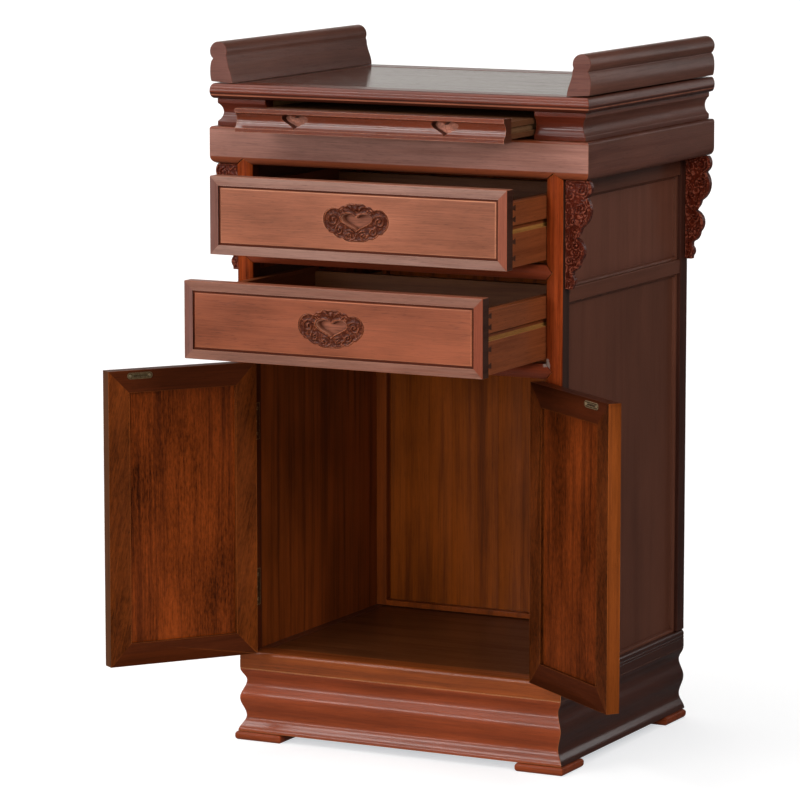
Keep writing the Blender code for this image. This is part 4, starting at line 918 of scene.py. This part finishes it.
    for part, axis in (("bottom", "Y"), ("back", "X")):
        node = drawer + "_" + part
        inner = timber(node + " timber", axis, (0.150, 0.050, 0.018), (0.05, 0.016, 0.008), roughness=0.45,
                       coat=0.1, shift=1.9 + 0.1 * i)
        eased_piece(node + "_board", node, [inner], drawer, 0.0006)

# Pull-out shelf
# A coved front that closes the waist, with two heart-shaped finger recesses, screwed to a bare board
# whose edges are grooved for the guides.
SHELF_HEART_SPACING = 0.218
SHELF_HEART_REACH = (0.024, 0.0125)
SHELF_RECESS_FROM_FRONT = 0.010
SLOT_DEPTH = 0.006
SLOT_HALF_HEIGHT = 0.0045
low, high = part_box("shelf_front")
shape = solid_of("shelf_front")
ease_arrises(shape, 0.0005, 2, over=50.0)
COVE, SHELF_END, RECESS_FLOOR, RECESS_WALL_SHADE = range(4)
for face in shape.faces:
    spot = face.calc_center_median()
    from_heart = abs(abs(spot.x - (low.x + high.x) / 2) - SHELF_HEART_SPACING / 2)
    flat = face.normal.y < -0.99
    at_heart = from_heart < SHELF_HEART_REACH[0] \
        and abs(spot.z - (low.z + high.z) / 2) < SHELF_HEART_REACH[1]
    face.material_index = SHELF_END if abs(face.normal.x) > 0.9 and from_heart > 0.03 else COVE
    if at_heart and flat and spot.y > low.y + SHELF_RECESS_FROM_FRONT:
        face.material_index = RECESS_FLOOR
    elif at_heart and abs(face.normal.y) < 0.25:
        face.material_index = RECESS_WALL_SHADE
# The shelf front's rubbed arrises are painted pale, partly as wear and partly as painted highlight, and the
# recess walls are coloured dark as painted shade.
shelf_finishes = [
    timber("shelf front timber", "X", (0.130, 0.025, 0.009), RED_STREAK, streaks=0.3, rubbed=0.8,
           roughness=0.24, specular=0.5, coat=0.9, shift=1.9, pale=(0.48, 0.19, 0.11)),
    timber("shelf end grain", "Y", (0.070, 0.022, 0.012), (0.02, 0.006, 0.004)),
    timber("shelf recess timber", "X", (0.300, 0.110, 0.070), (0.08, 0.02, 0.01), fibre=1.0, mottle=2.0,
           recess=0.7, hollow=0.005, carved=0.35, pale=(0.48, 0.23, 0.16)),
    timber("shelf recess wall painted shade", "X", (0.060, 0.014, 0.008), (0.02, 0.005, 0.003))]
fit_piece("shelf_front_coved", shape, shelf_finishes, "shelf", ["shelf_front"])
low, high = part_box("shelf_board")
shape = solid_of("shelf_board")
for face in shape.faces:
    spot = face.calc_center_median()
    depth = min(spot.x - low.x, high.x - spot.x)
    in_slot = 0.0008 < depth < SLOT_DEPTH and abs(spot.z - (low.z + high.z) / 2) < SLOT_HALF_HEIGHT
    face.material_index = 1 if in_slot else 0
ease_arrises(shape, 0.0005, 2)
fit_piece("shelf_board_planed", shape,
          [timber("shelf board timber", "Y", (0.125, 0.048, 0.021), (0.05, 0.016, 0.008), roughness=0.42),
           timber("shelf slot timber", "Y", (0.210, 0.105, 0.050), BARE_STREAK, roughness=0.6, recess=0.4)],
          "shelf", ["shelf_board"])

# Top and end flanges
# A mitred frame with a full rounded edge and a panel set flush in it, lacquered to a mirror. A flange
# stands at each end, a round bead on a neck that flares out over the top.
low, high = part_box("deck_frame")
EDGE_PAINTED_BANDS = (0.20, 0.29, 0.42)
top_x = timber("top frame along x", "X", (0.125, 0.022, 0.008), RED_STREAK, roughness=0.28, coat=0.4,
               rubbed=0.6)
top_y = timber("top frame along y", "Y", SIDE_RED_PAINTED_SHADE, RED_STREAK, roughness=0.3, coat=0.15, rubbed=0.3)
shape = solid_of("deck_frame")
ease_arrises(shape, 0.0004, 2, over=50.0)
# The rounded edge is coloured in bands by height, a pale line as painted highlight between dark bands as
# painted shade, standing in for a fillet and groove that the edge doesn't have.
for share in EDGE_PAINTED_BANDS:
    score(shape, (0.0, 0.0, low.z + (high.z - low.z) * share), (0.0, 0.0, 1.0))
split_runs(shape, low, high)
for face in shape.faces:
    share = (face.calc_center_median().z - low.z) / (high.z - low.z)
    if face.normal.z < 0.7 and share < EDGE_PAINTED_BANDS[2]:
        face.material_index = 3 if EDGE_PAINTED_BANDS[0] < share < EDGE_PAINTED_BANDS[1] else 2
top_painted_shadow = timber("top edge painted shadow band", "X", (0.050, 0.010, 0.005), RED_STREAK, coat=0.3)
top_painted_highlight = timber("top edge painted highlight line", "X", (0.300, 0.100, 0.055), RED_STREAK, coat=0.3, recess=0.3)
fit_piece("top_frame", shape, [top_x, top_y, top_painted_shadow, top_painted_highlight], "carcass", ["deck_frame"])
top_panel = timber("top panel timber", "X", (0.085, 0.030, 0.019), (0.030, 0.009, 0.006), fineness=60.0,
                   roughness=0.07, specular=0.5)
eased_piece("top_panel", "deck_panel", [top_panel], "carcass", 0.0004)
for i, side in enumerate(("left", "right")):
    low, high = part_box("flange_" + side)
    shape = solid_of("flange_" + side)
    ease_arrises(shape, 0.0010, 3, over=55.0)
    flange = timber("flange timber " + side, "Y", (0.140, 0.052, 0.034), SIDE_STREAK, shift=2.3 + 0.1 * i,
                    roughness=0.32, coat=0.1)
    flange_end = timber("flange end timber " + side, "X", (0.125, 0.048, 0.036), RED_STREAK, shift=2.5)
    for face in shape.faces:
        face.material_index = 1 if abs(face.normal.y) > 0.7 else 0
    fit_piece("flange_bead_" + side, shape, [flange, flange_end], "carcass", ["flange_" + side])

# Brackets
# Thin boards beside the posts, sawn to lobes down the free edge and carved with a scrolling leaf inside
# a raised rim. Their high points are painted pale, partly as wear and partly as painted highlight, and the
# ground between is almost black, darkened with painted shade.
BRACKET_LOBES = ((0.152, 0.071, 0.102), (0.064, 0.275, 0.185), (0.042, 0.423, 0.116), (0.060, 0.646, 0.126),
                 (0.042, 0.734, 0.106), (0.032, 0.925, 0.060))
BRACKET_SHANK = 0.010
BRACKET_FIELD = 0.0022
BRACKET_THICKNESS = 0.012
BRACKET_VOXEL = 0.00055
RIM_INSET = 1.3 * MM


def bracket_edge(height, inset, steps):
    """The free edge from the top down, as (out from the post, below the top) points."""
    points = []
    for i in range(steps + 1):
        below = inset + (height - 2 * inset) * i / steps
        reach = BRACKET_SHANK
        for out, down, radius in BRACKET_LOBES:
            rise = (radius * height) ** 2 - (below - down * height) ** 2
            if rise > 0:
                reach = max(reach, out * height + sqrt(rise))
        points.append((reach - inset, below))
    return points


bracket_ridges = [
    spiral((22.5, -12.5), 7.6, 1.4, 100, -1, 1.7), spiral((21.5, -36.0), 8.4, 1.5, 60, -1, 1.8),
    spiral((11.5, -54.0), 5.4, 1.2, 100, 1, 1.5), spiral((14.5, -84.0), 7.0, 1.4, 60, -1, 1.7),
    spiral((10.0, -104.0), 5.2, 1.2, 120, 1, 1.4), spiral((6.2, -128.5), 4.0, 1.2, 60, -1, 1.3)]
bracket_ridges += [
    leaf((3.5, -4.0), (14.5, -10.0), 0.15, 1.7), leaf((4.0, -10.0), (11.0, -27.0), -0.2, 1.9),
    leaf((31.0, -22.0), (22.0, -26.0), 0.3, 1.6), leaf((4.0, -26.0), (7.0, -45.0), -0.2, 1.8),
    leaf((24.0, -47.5), (14.5, -63.0), 0.12, 2.0), leaf((4.0, -60.0), (10.5, -75.0), -0.15, 1.9),
    leaf((20.5, -66.0), (13.0, -74.5), 0.25, 1.6), leaf((4.0, -78.0), (5.0, -96.0), -0.15, 1.6),
    leaf((19.5, -93.0), (13.5, -100.5), 0.2, 1.5), leaf((13.5, -110.0), (5.0, -121.0), 0.15, 1.7),
    leaf((3.2, -104.0), (3.4, -119.0), -0.1, 1.4)]
bracket_ridges = [in_metres(ridge) for ridge in bracket_ridges]
bracket_beads = in_metres([(8.0, -20.0, 1.5), (27.5, -23.5, 1.4), (6.5, -50.5, 1.4), (17.5, -68.5, 1.4),
                           (6.4, -112.5, 1.2)])
for end in ("front", "back"):
    for side in ("left", "right"):
        node = "bracket_" + end + "_" + side
        low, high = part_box(node)
        flip = -1 if side == "left" else 1
        root = (high.x if side == "left" else low.x, high.z)
        height = high.z - low.z
        edge = bracket_edge(height, 0.0, 90)
        outline = [(0.0, 0.0)] + [(out, -below) for out, below in edge] + [(0.0, -height)]
        outline = [(flip * u, v) for u, v in outline]
        face_y = high.y - BRACKET_THICKNESS
        field = plate_shape(outline, root, face_y + BRACKET_FIELD, high.y)
        rim = [(RIM_INSET, -RIM_INSET)]
        rim += [(out - 1.5 * MM, -below) for out, below in bracket_edge(height, RIM_INSET, 90)]
        rim += [(RIM_INSET, RIM_INSET - height), (RIM_INSET, -RIM_INSET)]
        ridges = bracket_ridges + [[(u, v, 1.35 * MM) for u, v in rim]]
        ridges = [[(flip * u, v, radius) for u, v, radius in ridge] for ridge in ridges]
        beads = [(flip * u, v, radius) for u, v, radius in bracket_beads]
        carving = carved_shape(field, ridges, beads, root, face_y + BRACKET_FIELD - 0.0004, BRACKET_VOXEL)
        # Ridges painted pale, partly wear and partly painted highlight; hollows darkened as painted shade.
        bracket_timber = timber(node + " timber", "Z", (0.110, 0.014, 0.005), (0.03, 0.006, 0.003),
                                rubbed=0.8, recess=1.0, edge_wear_and_highlight_radius=0.0016, hollow=0.011, roughness=0.28,
                                coat=0.2, pale=(0.500, 0.150, 0.085), carved=0.45)
        fit_piece(node + "_carving", carving, [bracket_timber], "carcass", [node])

# Doors
# A frame round a thin panel of strongly streaked wood, its inner arrises rounded. The doors hang on brass
# butt hinges let into the posts, and a brass strike plate is screwed inside each near its free corner.
DOOR_TURNS = {"left_door": radians(-126.5), "right_door": radians(142.5)}
# The door edges get a dark copy on the left door and a light copy on the right, as painted light and shade.
DOOR_EDGES_LIT_AND_SHADED = {"left_door": (0.085, 0.032, 0.014), "right_door": (0.200, 0.046, 0.008)}
# Each door's stiles, rails and panel are darkened by a share as painted shade, the right door more than the
# left.
DOOR_PAINTED_SHADE = {"left_door": 0.85, "right_door": 0.72}


def hinge_pin(door):
    """Where a door's hinge pin stands."""
    return next(Vector(joint["pos_m"]) for joint in frame["joints"] if joint["child"] == door)


for i, door in enumerate(("left_door", "right_door")):
    pin = hinge_pin(door)
    to_door = Matrix.Rotation(-DOOR_TURNS[door], 4, "Z") @ Matrix.Translation((-pin.x, -pin.y, 0.0))
    to_world = to_door.inverted()
    shape = solid_of(door + "_frame")
    local = [to_door @ vert.co for vert in shape.verts]
    x0, x1 = min(spot.x for spot in local), max(spot.x for spot in local)
    z0, z1 = min(spot.z for spot in local), max(spot.z for spot in local)
    for corner_x, corner_z, slope in ((x0, z0, -1), (x1, z1, -1), (x0, z1, 1), (x1, z0, 1)):
        score(shape, to_world @ Vector((corner_x, 0.0, corner_z)),
              to_world.to_3x3() @ Vector((1.0, 0.0, slope)))
    for face in shape.faces:
        spot = to_door @ face.calc_center_median()
        upright = min(spot.x - x0, x1 - spot.x) < min(spot.z - z0, z1 - spot.z)
        face.material_index = 0 if upright else 1
        if abs((to_door.to_3x3() @ face.normal).x) > 0.9 and min(spot.x - x0, x1 - spot.x) < 0.002:
            face.material_index = 2
    ease_arrises(shape, 0.0012, 3)
    shade_share = DOOR_PAINTED_SHADE[door]
    # The frames' rubbed arrises are painted pale, partly as wear and partly as a painted highlight line.
    stile = timber(door + " stile timber", "Z", (0.112 * shade_share, 0.024 * shade_share, 0.0035), (0.035, 0.007, 0.0015),
                   streaks=0.45, fineness=130.0, fibre=0.8, mottle=1.7, fleck=1.0,
                   turn=(0.2, pi / 2 - 0.12, 0.0), shift=2.7 + 0.2 * i, rubbed=0.5, specular=0.12,
                   pale=(0.42, 0.11, 0.02))
    rail = timber(door + " rail timber", "X", (0.070 * shade_share, 0.014 * shade_share, 0.003), (0.030, 0.006, 0.0015),
                  streaks=0.5, turn=(0.0, 0.0, -DOOR_TURNS[door]), shift=2.8 + 0.2 * i, rubbed=0.4,
                  specular=0.12, pale=(0.30, 0.08, 0.015))
    edge = timber(door + " edge timber", "Z", DOOR_EDGES_LIT_AND_SHADED[door], (0.05, 0.012, 0.004), shift=2.9 + 0.2 * i,
                  rubbed=0.8, specular=0.12)
    fit_piece(door + "_frame_joined", shape, [stile, rail, edge], door, [door + "_frame"])
    panel = timber(door + " panel timber", "Z", (0.160 * shade_share, 0.029 * shade_share, 0.0035), (0.038, 0.007, 0.0015),
                   streaks=0.75, fineness=120.0, fibre=0.8, mottle=1.8, fleck=1.05, shift=3.1 + 0.3 * i,
                   specular=0.12)
    fit_piece(door + "_panel_board", solid_of(door + "_panel"), [panel], door,
              [door + "_panel"])

# Door brass
# Butt hinges with five knuckles, their leaves let into the door and the post, and a strike plate with a
# slot inside each door's top rail. The brass is dull with age and darker round the screws.
KNUCKLE_RADIUS = 0.0024
LEAF_THICKNESS = 0.0008
SCREW_RADIUS = 0.0019
PLATE_SIZE = (0.036, 0.0085)
PLATE_FROM_EDGE = 0.045
PLATE_FROM_TOP = 0.0075
PLATE_SCREWS = (-0.0138, 0.0138)
PLATE_LIFT = 0.0004
PLATE_SUNK = 0.0009
PLATE_SLOT_SHARES = (0.55, 0.34)
LEAF_FROM_PIN = 0.015
LEAF_REACH = (0.0006, 0.0195)
LEAF_EASE = 0.0002
LEAF_SCREW_LIFT = 0.00025
POST_LEAF_REACH = (0.0012, 0.0205)
POST_LEAF_SUNK = 0.0006
POST_LEAF_PROUD = 0.00008
POST_SCREW_SUNK = 0.00018
HINGE_SCREWS = ((0.16, 0.0035), (0.5, 0.0), (0.84, 0.0035))
KNUCKLES = 5
KNUCKLE_GAP = 0.0001


def screw_head(radius):
    """A flat screw head with a slot, lying in XY and facing up."""
    shape = bmesh.new()
    bmesh.ops.create_cone(shape, cap_ends=True, segments=20, radius1=radius, radius2=radius * 0.82,
                          depth=radius * 0.3)
    slot = block((-1.2 * radius, -0.13 * radius, 0.05 * radius), (1.2 * radius, 0.13 * radius, 0.35 * radius))
    return mesh_of(cut_out(shape, [slot]), "screw head")


def set_screw(shape, place, facing):
    """Drives a screw at a place, its head turned to face out of the brass."""
    driven = screw.copy()
    driven.transform(Matrix.Translation(place) @ facing)
    shape.from_mesh(driven)
    bpy.data.meshes.remove(driven)


def eased_box(low, high, width):
    """A box between two corners with its edges taken off, as a mesh."""
    shape = block(low, high)
    bmesh.ops.bevel(shape, geom=shape.edges, offset=width, segments=2, profile=0.5, affect="EDGES",
                    material=-1)
    return mesh_of(shape, "eased box")


def brass_finish(name, clean, tarnished, metallic):
    """Brass that is tarnished in patches, rubbed bright on its edges and dirty in its corners."""
    made, tree, shader = new_material(name)
    place = add_node(tree, "ShaderNodeTexCoord", {}).outputs["Object"]
    tarnish = add_node(tree, "ShaderNodeTexNoise", {"Vector": place, "Scale": 260.0, "Detail": 4.0})
    tarnish = tarnish.outputs["Fac"]
    wear = placed_group(tree, wear_highlight_stain_and_shade_group, {})
    aged = blended(tree, ranged(tree, tarnish, 0.35, 0.65), (*clean, 1.0), (*tarnished, 1.0))
    aged = blended(tree, wear.outputs["Rubbed"], aged, (0.62, 0.47, 0.26, 1.0))
    aged = blended(tree, wear.outputs["Recess"], aged, (0.06, 0.035, 0.018, 1.0))
    tree.links.new(aged, shader.inputs["Base Color"])
    tree.links.new(ranged(tree, tarnish, 0.3, 0.7, 0.30, 0.48), shader.inputs["Roughness"])
    shader.inputs["Metallic"].default_value = metallic
    return made


brass = brass_finish("aged brass", (0.36, 0.25, 0.12), (0.20, 0.13, 0.06), 0.85)
hinge_brass = brass_finish("dark hinge brass", (0.07, 0.04, 0.02), (0.04, 0.02, 0.01), 0.5)
bright_brass = brass_finish("bright brass screws", (0.85, 0.68, 0.42), (0.60, 0.46, 0.28), 0.85)
screw = screw_head(SCREW_RADIUS)
for door, flip in (("left_door", 1), ("right_door", -1)):
    pin = hinge_pin(door)
    to_world = Matrix.Translation((pin.x, pin.y, 0.0)) @ Matrix.Rotation(DOOR_TURNS[door], 4, "Z")
    to_door = to_world.inverted()
    spots = [to_door @ vert.co for vert in frame["nodes"][door + "_frame"].data.vertices]
    free_x = max(spots, key=lambda spot: spot.x * flip).x
    inner_y = max(spot.y for spot in spots)
    top_z = max(spot.z for spot in spots)
    half_w, half_h = PLATE_SIZE[0] / 2, PLATE_SIZE[1] / 2
    outline = arc_points(half_w - half_h, 0.0, half_h, half_h, -90, 90, 10)
    outline += arc_points(half_h - half_w, 0.0, half_h, half_h, 90, 270, 10)
    centre = (free_x - flip * PLATE_FROM_EDGE, top_z - PLATE_FROM_TOP)
    shape = plate_shape(outline, centre, inner_y - PLATE_LIFT, inner_y + PLATE_SUNK)
    slot = [(u * PLATE_SLOT_SHARES[0], v * PLATE_SLOT_SHARES[1]) for u, v in outline]
    shape = cut_out(shape, [plate_shape(slot, centre, inner_y + 0.0001, inner_y + 0.002)])
    facing_in = Matrix.Rotation(radians(-90), 4, "X")
    plate_faces = len(shape.faces)
    for across in PLATE_SCREWS:
        set_screw(shape, (centre[0] + across, inner_y + 0.0010, centre[1]), facing_in)
    for face in list(shape.faces)[plate_faces:]:
        face.material_index = 1
    shape.transform(to_world)
    plate_brass = brass if flip > 0 else hinge_brass
    fit_piece(door + "_strike_plate", shape, [plate_brass, bright_brass], door)
    for level in ("lower", "upper"):
        node = door + "_hinge_" + level
        low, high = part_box(node)
        z0, z1 = low.z + KNUCKLE_RADIUS, high.z - KNUCKLE_RADIUS
        leaf_spots = [to_door @ vert.co for vert in frame["nodes"][node].data.vertices]
        leaf_x = min((spot for spot in leaf_spots if spot.y > LEAF_FROM_PIN),
                     key=lambda spot: spot.x * flip).x
        shape = bmesh.new()
        for i in range(KNUCKLES):
            bottom = z0 + (z1 - z0) * i / KNUCKLES + KNUCKLE_GAP
            top = z0 + (z1 - z0) * (i + 1) / KNUCKLES - KNUCKLE_GAP
            knuckle = bmesh.new()
            bmesh.ops.create_cone(knuckle, cap_ends=True, segments=24, radius1=KNUCKLE_RADIUS,
                                  radius2=KNUCKLE_RADIUS, depth=top - bottom,
                                  matrix=Matrix.Translation((0.0, 0.0, (bottom + top) / 2)))
            ease_arrises(knuckle, 0.00025, 1)
            shape.from_mesh(mesh_of(knuckle, "knuckle"))
        for z in (z0, z1):
            bmesh.ops.create_uvsphere(shape, u_segments=20, v_segments=10, radius=KNUCKLE_RADIUS * 0.96,
                                      matrix=Matrix.Translation((0.0, 0.0, z)))
        far_x = leaf_x + flip * LEAF_THICKNESS
        leaf_plate = eased_box((min(leaf_x, far_x), LEAF_REACH[0], z0),
                               (max(leaf_x, far_x), LEAF_REACH[1], z1), LEAF_EASE)
        shape.from_mesh(leaf_plate)
        facing_out = Matrix.Rotation(radians(-90 * flip), 4, "Y")
        for share, y in HINGE_SCREWS:
            place = (leaf_x + flip * LEAF_SCREW_LIFT, 0.0095 + y, z0 + (z1 - z0) * share)
            set_screw(shape, place, facing_out)
        shape.transform(to_world)
        fit_piece(node + "_brass", shape, [hinge_brass], door, [node])
        post_low, post_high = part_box("front_post_" + door.split("_")[0])
        post_x = post_high.x if flip > 0 else post_low.x
        shape = bmesh.new()
        ends = (post_x - flip * POST_LEAF_SUNK, post_x + flip * POST_LEAF_PROUD)
        shape.from_mesh(eased_box((min(ends), post_low.y + POST_LEAF_REACH[0], z0),
                                  (max(ends), post_low.y + POST_LEAF_REACH[1], z1), LEAF_EASE))
        facing_in = Matrix.Rotation(radians(90 * flip), 4, "Y")
        for share, y in HINGE_SCREWS:
            place = (post_x - flip * POST_SCREW_SUNK, post_low.y + 0.0105 + y, z0 + (z1 - z0) * share)
            set_screw(shape, place, facing_in)
        fit_piece(node + "_post_leaf", shape, [hinge_brass], "carcass")

# Camera, light and floor
# White studio paper that sweeps up behind. A large softbox and two strips stand at the front left, soft
# fills light the front, the right side and the inside, and three lamps light the paper alone.
CAMERA_PLACE = (2.6003, -5.2425, 1.3382)
CAMERA_TARGET = (-0.0220, -0.0981, 0.4804)
CAMERA_LENS = 199.1


def aim(stand, place, target):
    """Stands a camera or a light at a place and turns it towards a point."""
    stand.location = place
    stand.rotation_euler = (Vector(target) - Vector(place)).to_track_quat("-Z", "Y").to_euler()


camera_data = bpy.data.cameras.new("camera")
camera_data.lens = CAMERA_LENS
camera_data.sensor_width = 36.0
camera_data.clip_end = 50.0
camera = placed("camera", camera_data)
aim(camera, CAMERA_PLACE, CAMERA_TARGET)
bpy.context.scene.camera = camera
bpy.context.scene.view_settings.view_transform = "Standard"

to_view = Matrix.Rotation(radians(27.0), 3, "Z")
SWEEP_HALF_WIDTH = 0.95
SWEEP_FRONT, SWEEP_BACK, SWEEP_RADIUS, SWEEP_HEIGHT = -1.5, 3.4, 1.2, 2.4
paper, tree, paper_shader = new_material("studio paper")
paper_shader.inputs["Base Color"].default_value = (0.56, 0.545, 0.52, 1.0)
paper_shader.inputs["Roughness"].default_value = 0.9
seen = add_node(tree, "ShaderNodeLightPath", {}).outputs["Is Camera Ray"]
lifted = blended(tree, seen, (0.0, 0.0, 0.0, 1.0), (0.55, 0.56, 0.58, 1.0))
tree.links.new(lifted, paper_shader.inputs["Emission Color"])
paper_shader.inputs["Emission Strength"].default_value = 1.0
behind = add_node(tree, "ShaderNodeNewGeometry", {}).outputs["Backfacing"]
clear = add_node(tree, "ShaderNodeBsdfTransparent", {})
one_sided = add_node(tree, "ShaderNodeMixShader",
                     {0: behind, 1: paper_shader.outputs[0], 2: clear.outputs[0]})
tree.links.new(one_sided.outputs[0], tree.nodes["Material Output"].inputs["Surface"])
curve = arc_points(SWEEP_BACK - SWEEP_RADIUS, SWEEP_RADIUS, SWEEP_RADIUS, SWEEP_RADIUS, -90, 0, 24)
paper_only = bpy.data.collections.new("studio paper only")
for name, line in (("studio_floor", [(SWEEP_FRONT, 0.0), (SWEEP_BACK - SWEEP_RADIUS, 0.0)]),
                   ("studio_wall", curve + [(SWEEP_BACK, SWEEP_HEIGHT)])):
    sweep = bmesh.new()
    verts = [sweep.verts.new((-SWEEP_HALF_WIDTH, y, z)) for y, z in line]
    edges = [sweep.edges.new(pair) for pair in zip(verts, verts[1:])]
    grown = bmesh.ops.extrude_edge_only(sweep, edges=edges)
    bmesh.ops.translate(sweep, vec=(2 * SWEEP_HALF_WIDTH, 0.0, 0.0), verts=new_verts(grown))
    bmesh.ops.rotate(sweep, verts=sweep.verts, cent=(0.0, 0.0, 0.0), matrix=to_view)
    sweep.normal_update()
    for face in sweep.faces:
        if face.normal.dot(Vector((0.0, 0.0, 1.0)) - face.calc_center_median()) < 0:
            face.normal_flip()
    made = mesh_of(sweep, name)
    made.shade_smooth()
    made.materials.append(paper)
    sheet = placed(name, made)
    paper_only.objects.link(sheet)
    sheet.visible_glossy = name == "studio_wall"


def soft_light(name, place, target, width, height, power, colour=(1.0, 1.0, 1.0)):
    """A softbox turned towards a point."""
    data = bpy.data.lights.new(name, "AREA")
    data.shape = "RECTANGLE"
    data.size, data.size_y = width, height
    data.energy = power
    data.color = colour
    light = placed(name, data)
    aim(light, place, target)
    return light


key = soft_light("key softbox", (-1.4, -3.0, 1.7), (0.0, 0.0, 0.5), 2.2, 2.0, 36.0)
key.visible_glossy = False
soft_light("low strip", (-1.5, -2.6, 1.15), (0.0, 0.0, 0.4), 2.2, 0.22, 13.0)
soft_light("high strip", (-1.4, -2.0, 2.0), (0.0, 0.0, 0.5), 2.2, 0.28, 18.0)
soft_light("back strip", (1.3, 2.5, 1.5), (0.2, 0.0, 0.6), 0.25, 1.6, 3.0)
soft_light("inner fill", (0.2, -2.7, 0.8), (0.0, 0.1, 0.35), 0.9, 0.7, 15.0).visible_glossy = False
soft_light("front fill", (1.0, -3.6, 0.8), (0.0, 0.0, 0.5), 1.6, 1.2, 22.0).visible_glossy = False
soft_light("side fill", (2.7, -1.7, 2.3), (0.2, 0.0, 0.8), 1.8, 1.4, 64.0).visible_glossy = False
soft_light("overhead softbox", (-1.0, -0.5, 2.7), (0.0, 0.0, 0.5), 2.0, 1.6, 24.0)
for along in (-0.5, 1.2, 2.6):
    place = to_view @ Vector((0.0, along, 3.0))
    target = to_view @ Vector((0.0, along + 0.7, 0.3))
    light = soft_light("paper light", place, target, 2.5, 1.6, 24.0)
    light.light_linking.receiver_collection = paper_only
world = bpy.data.worlds.new("studio")
world.use_nodes = True
backdrop = world.node_tree.nodes["Background"]
backdrop.inputs["Strength"].default_value = 1.0
ray = add_node(world.node_tree, "ShaderNodeLightPath", {}).outputs["Is Camera Ray"]
dim = blended(world.node_tree, ray, (0.06, 0.06, 0.06, 1.0), (1.0, 1.0, 1.0, 1.0))
world.node_tree.links.new(dim, backdrop.inputs["Color"])
bpy.context.scene.world = world
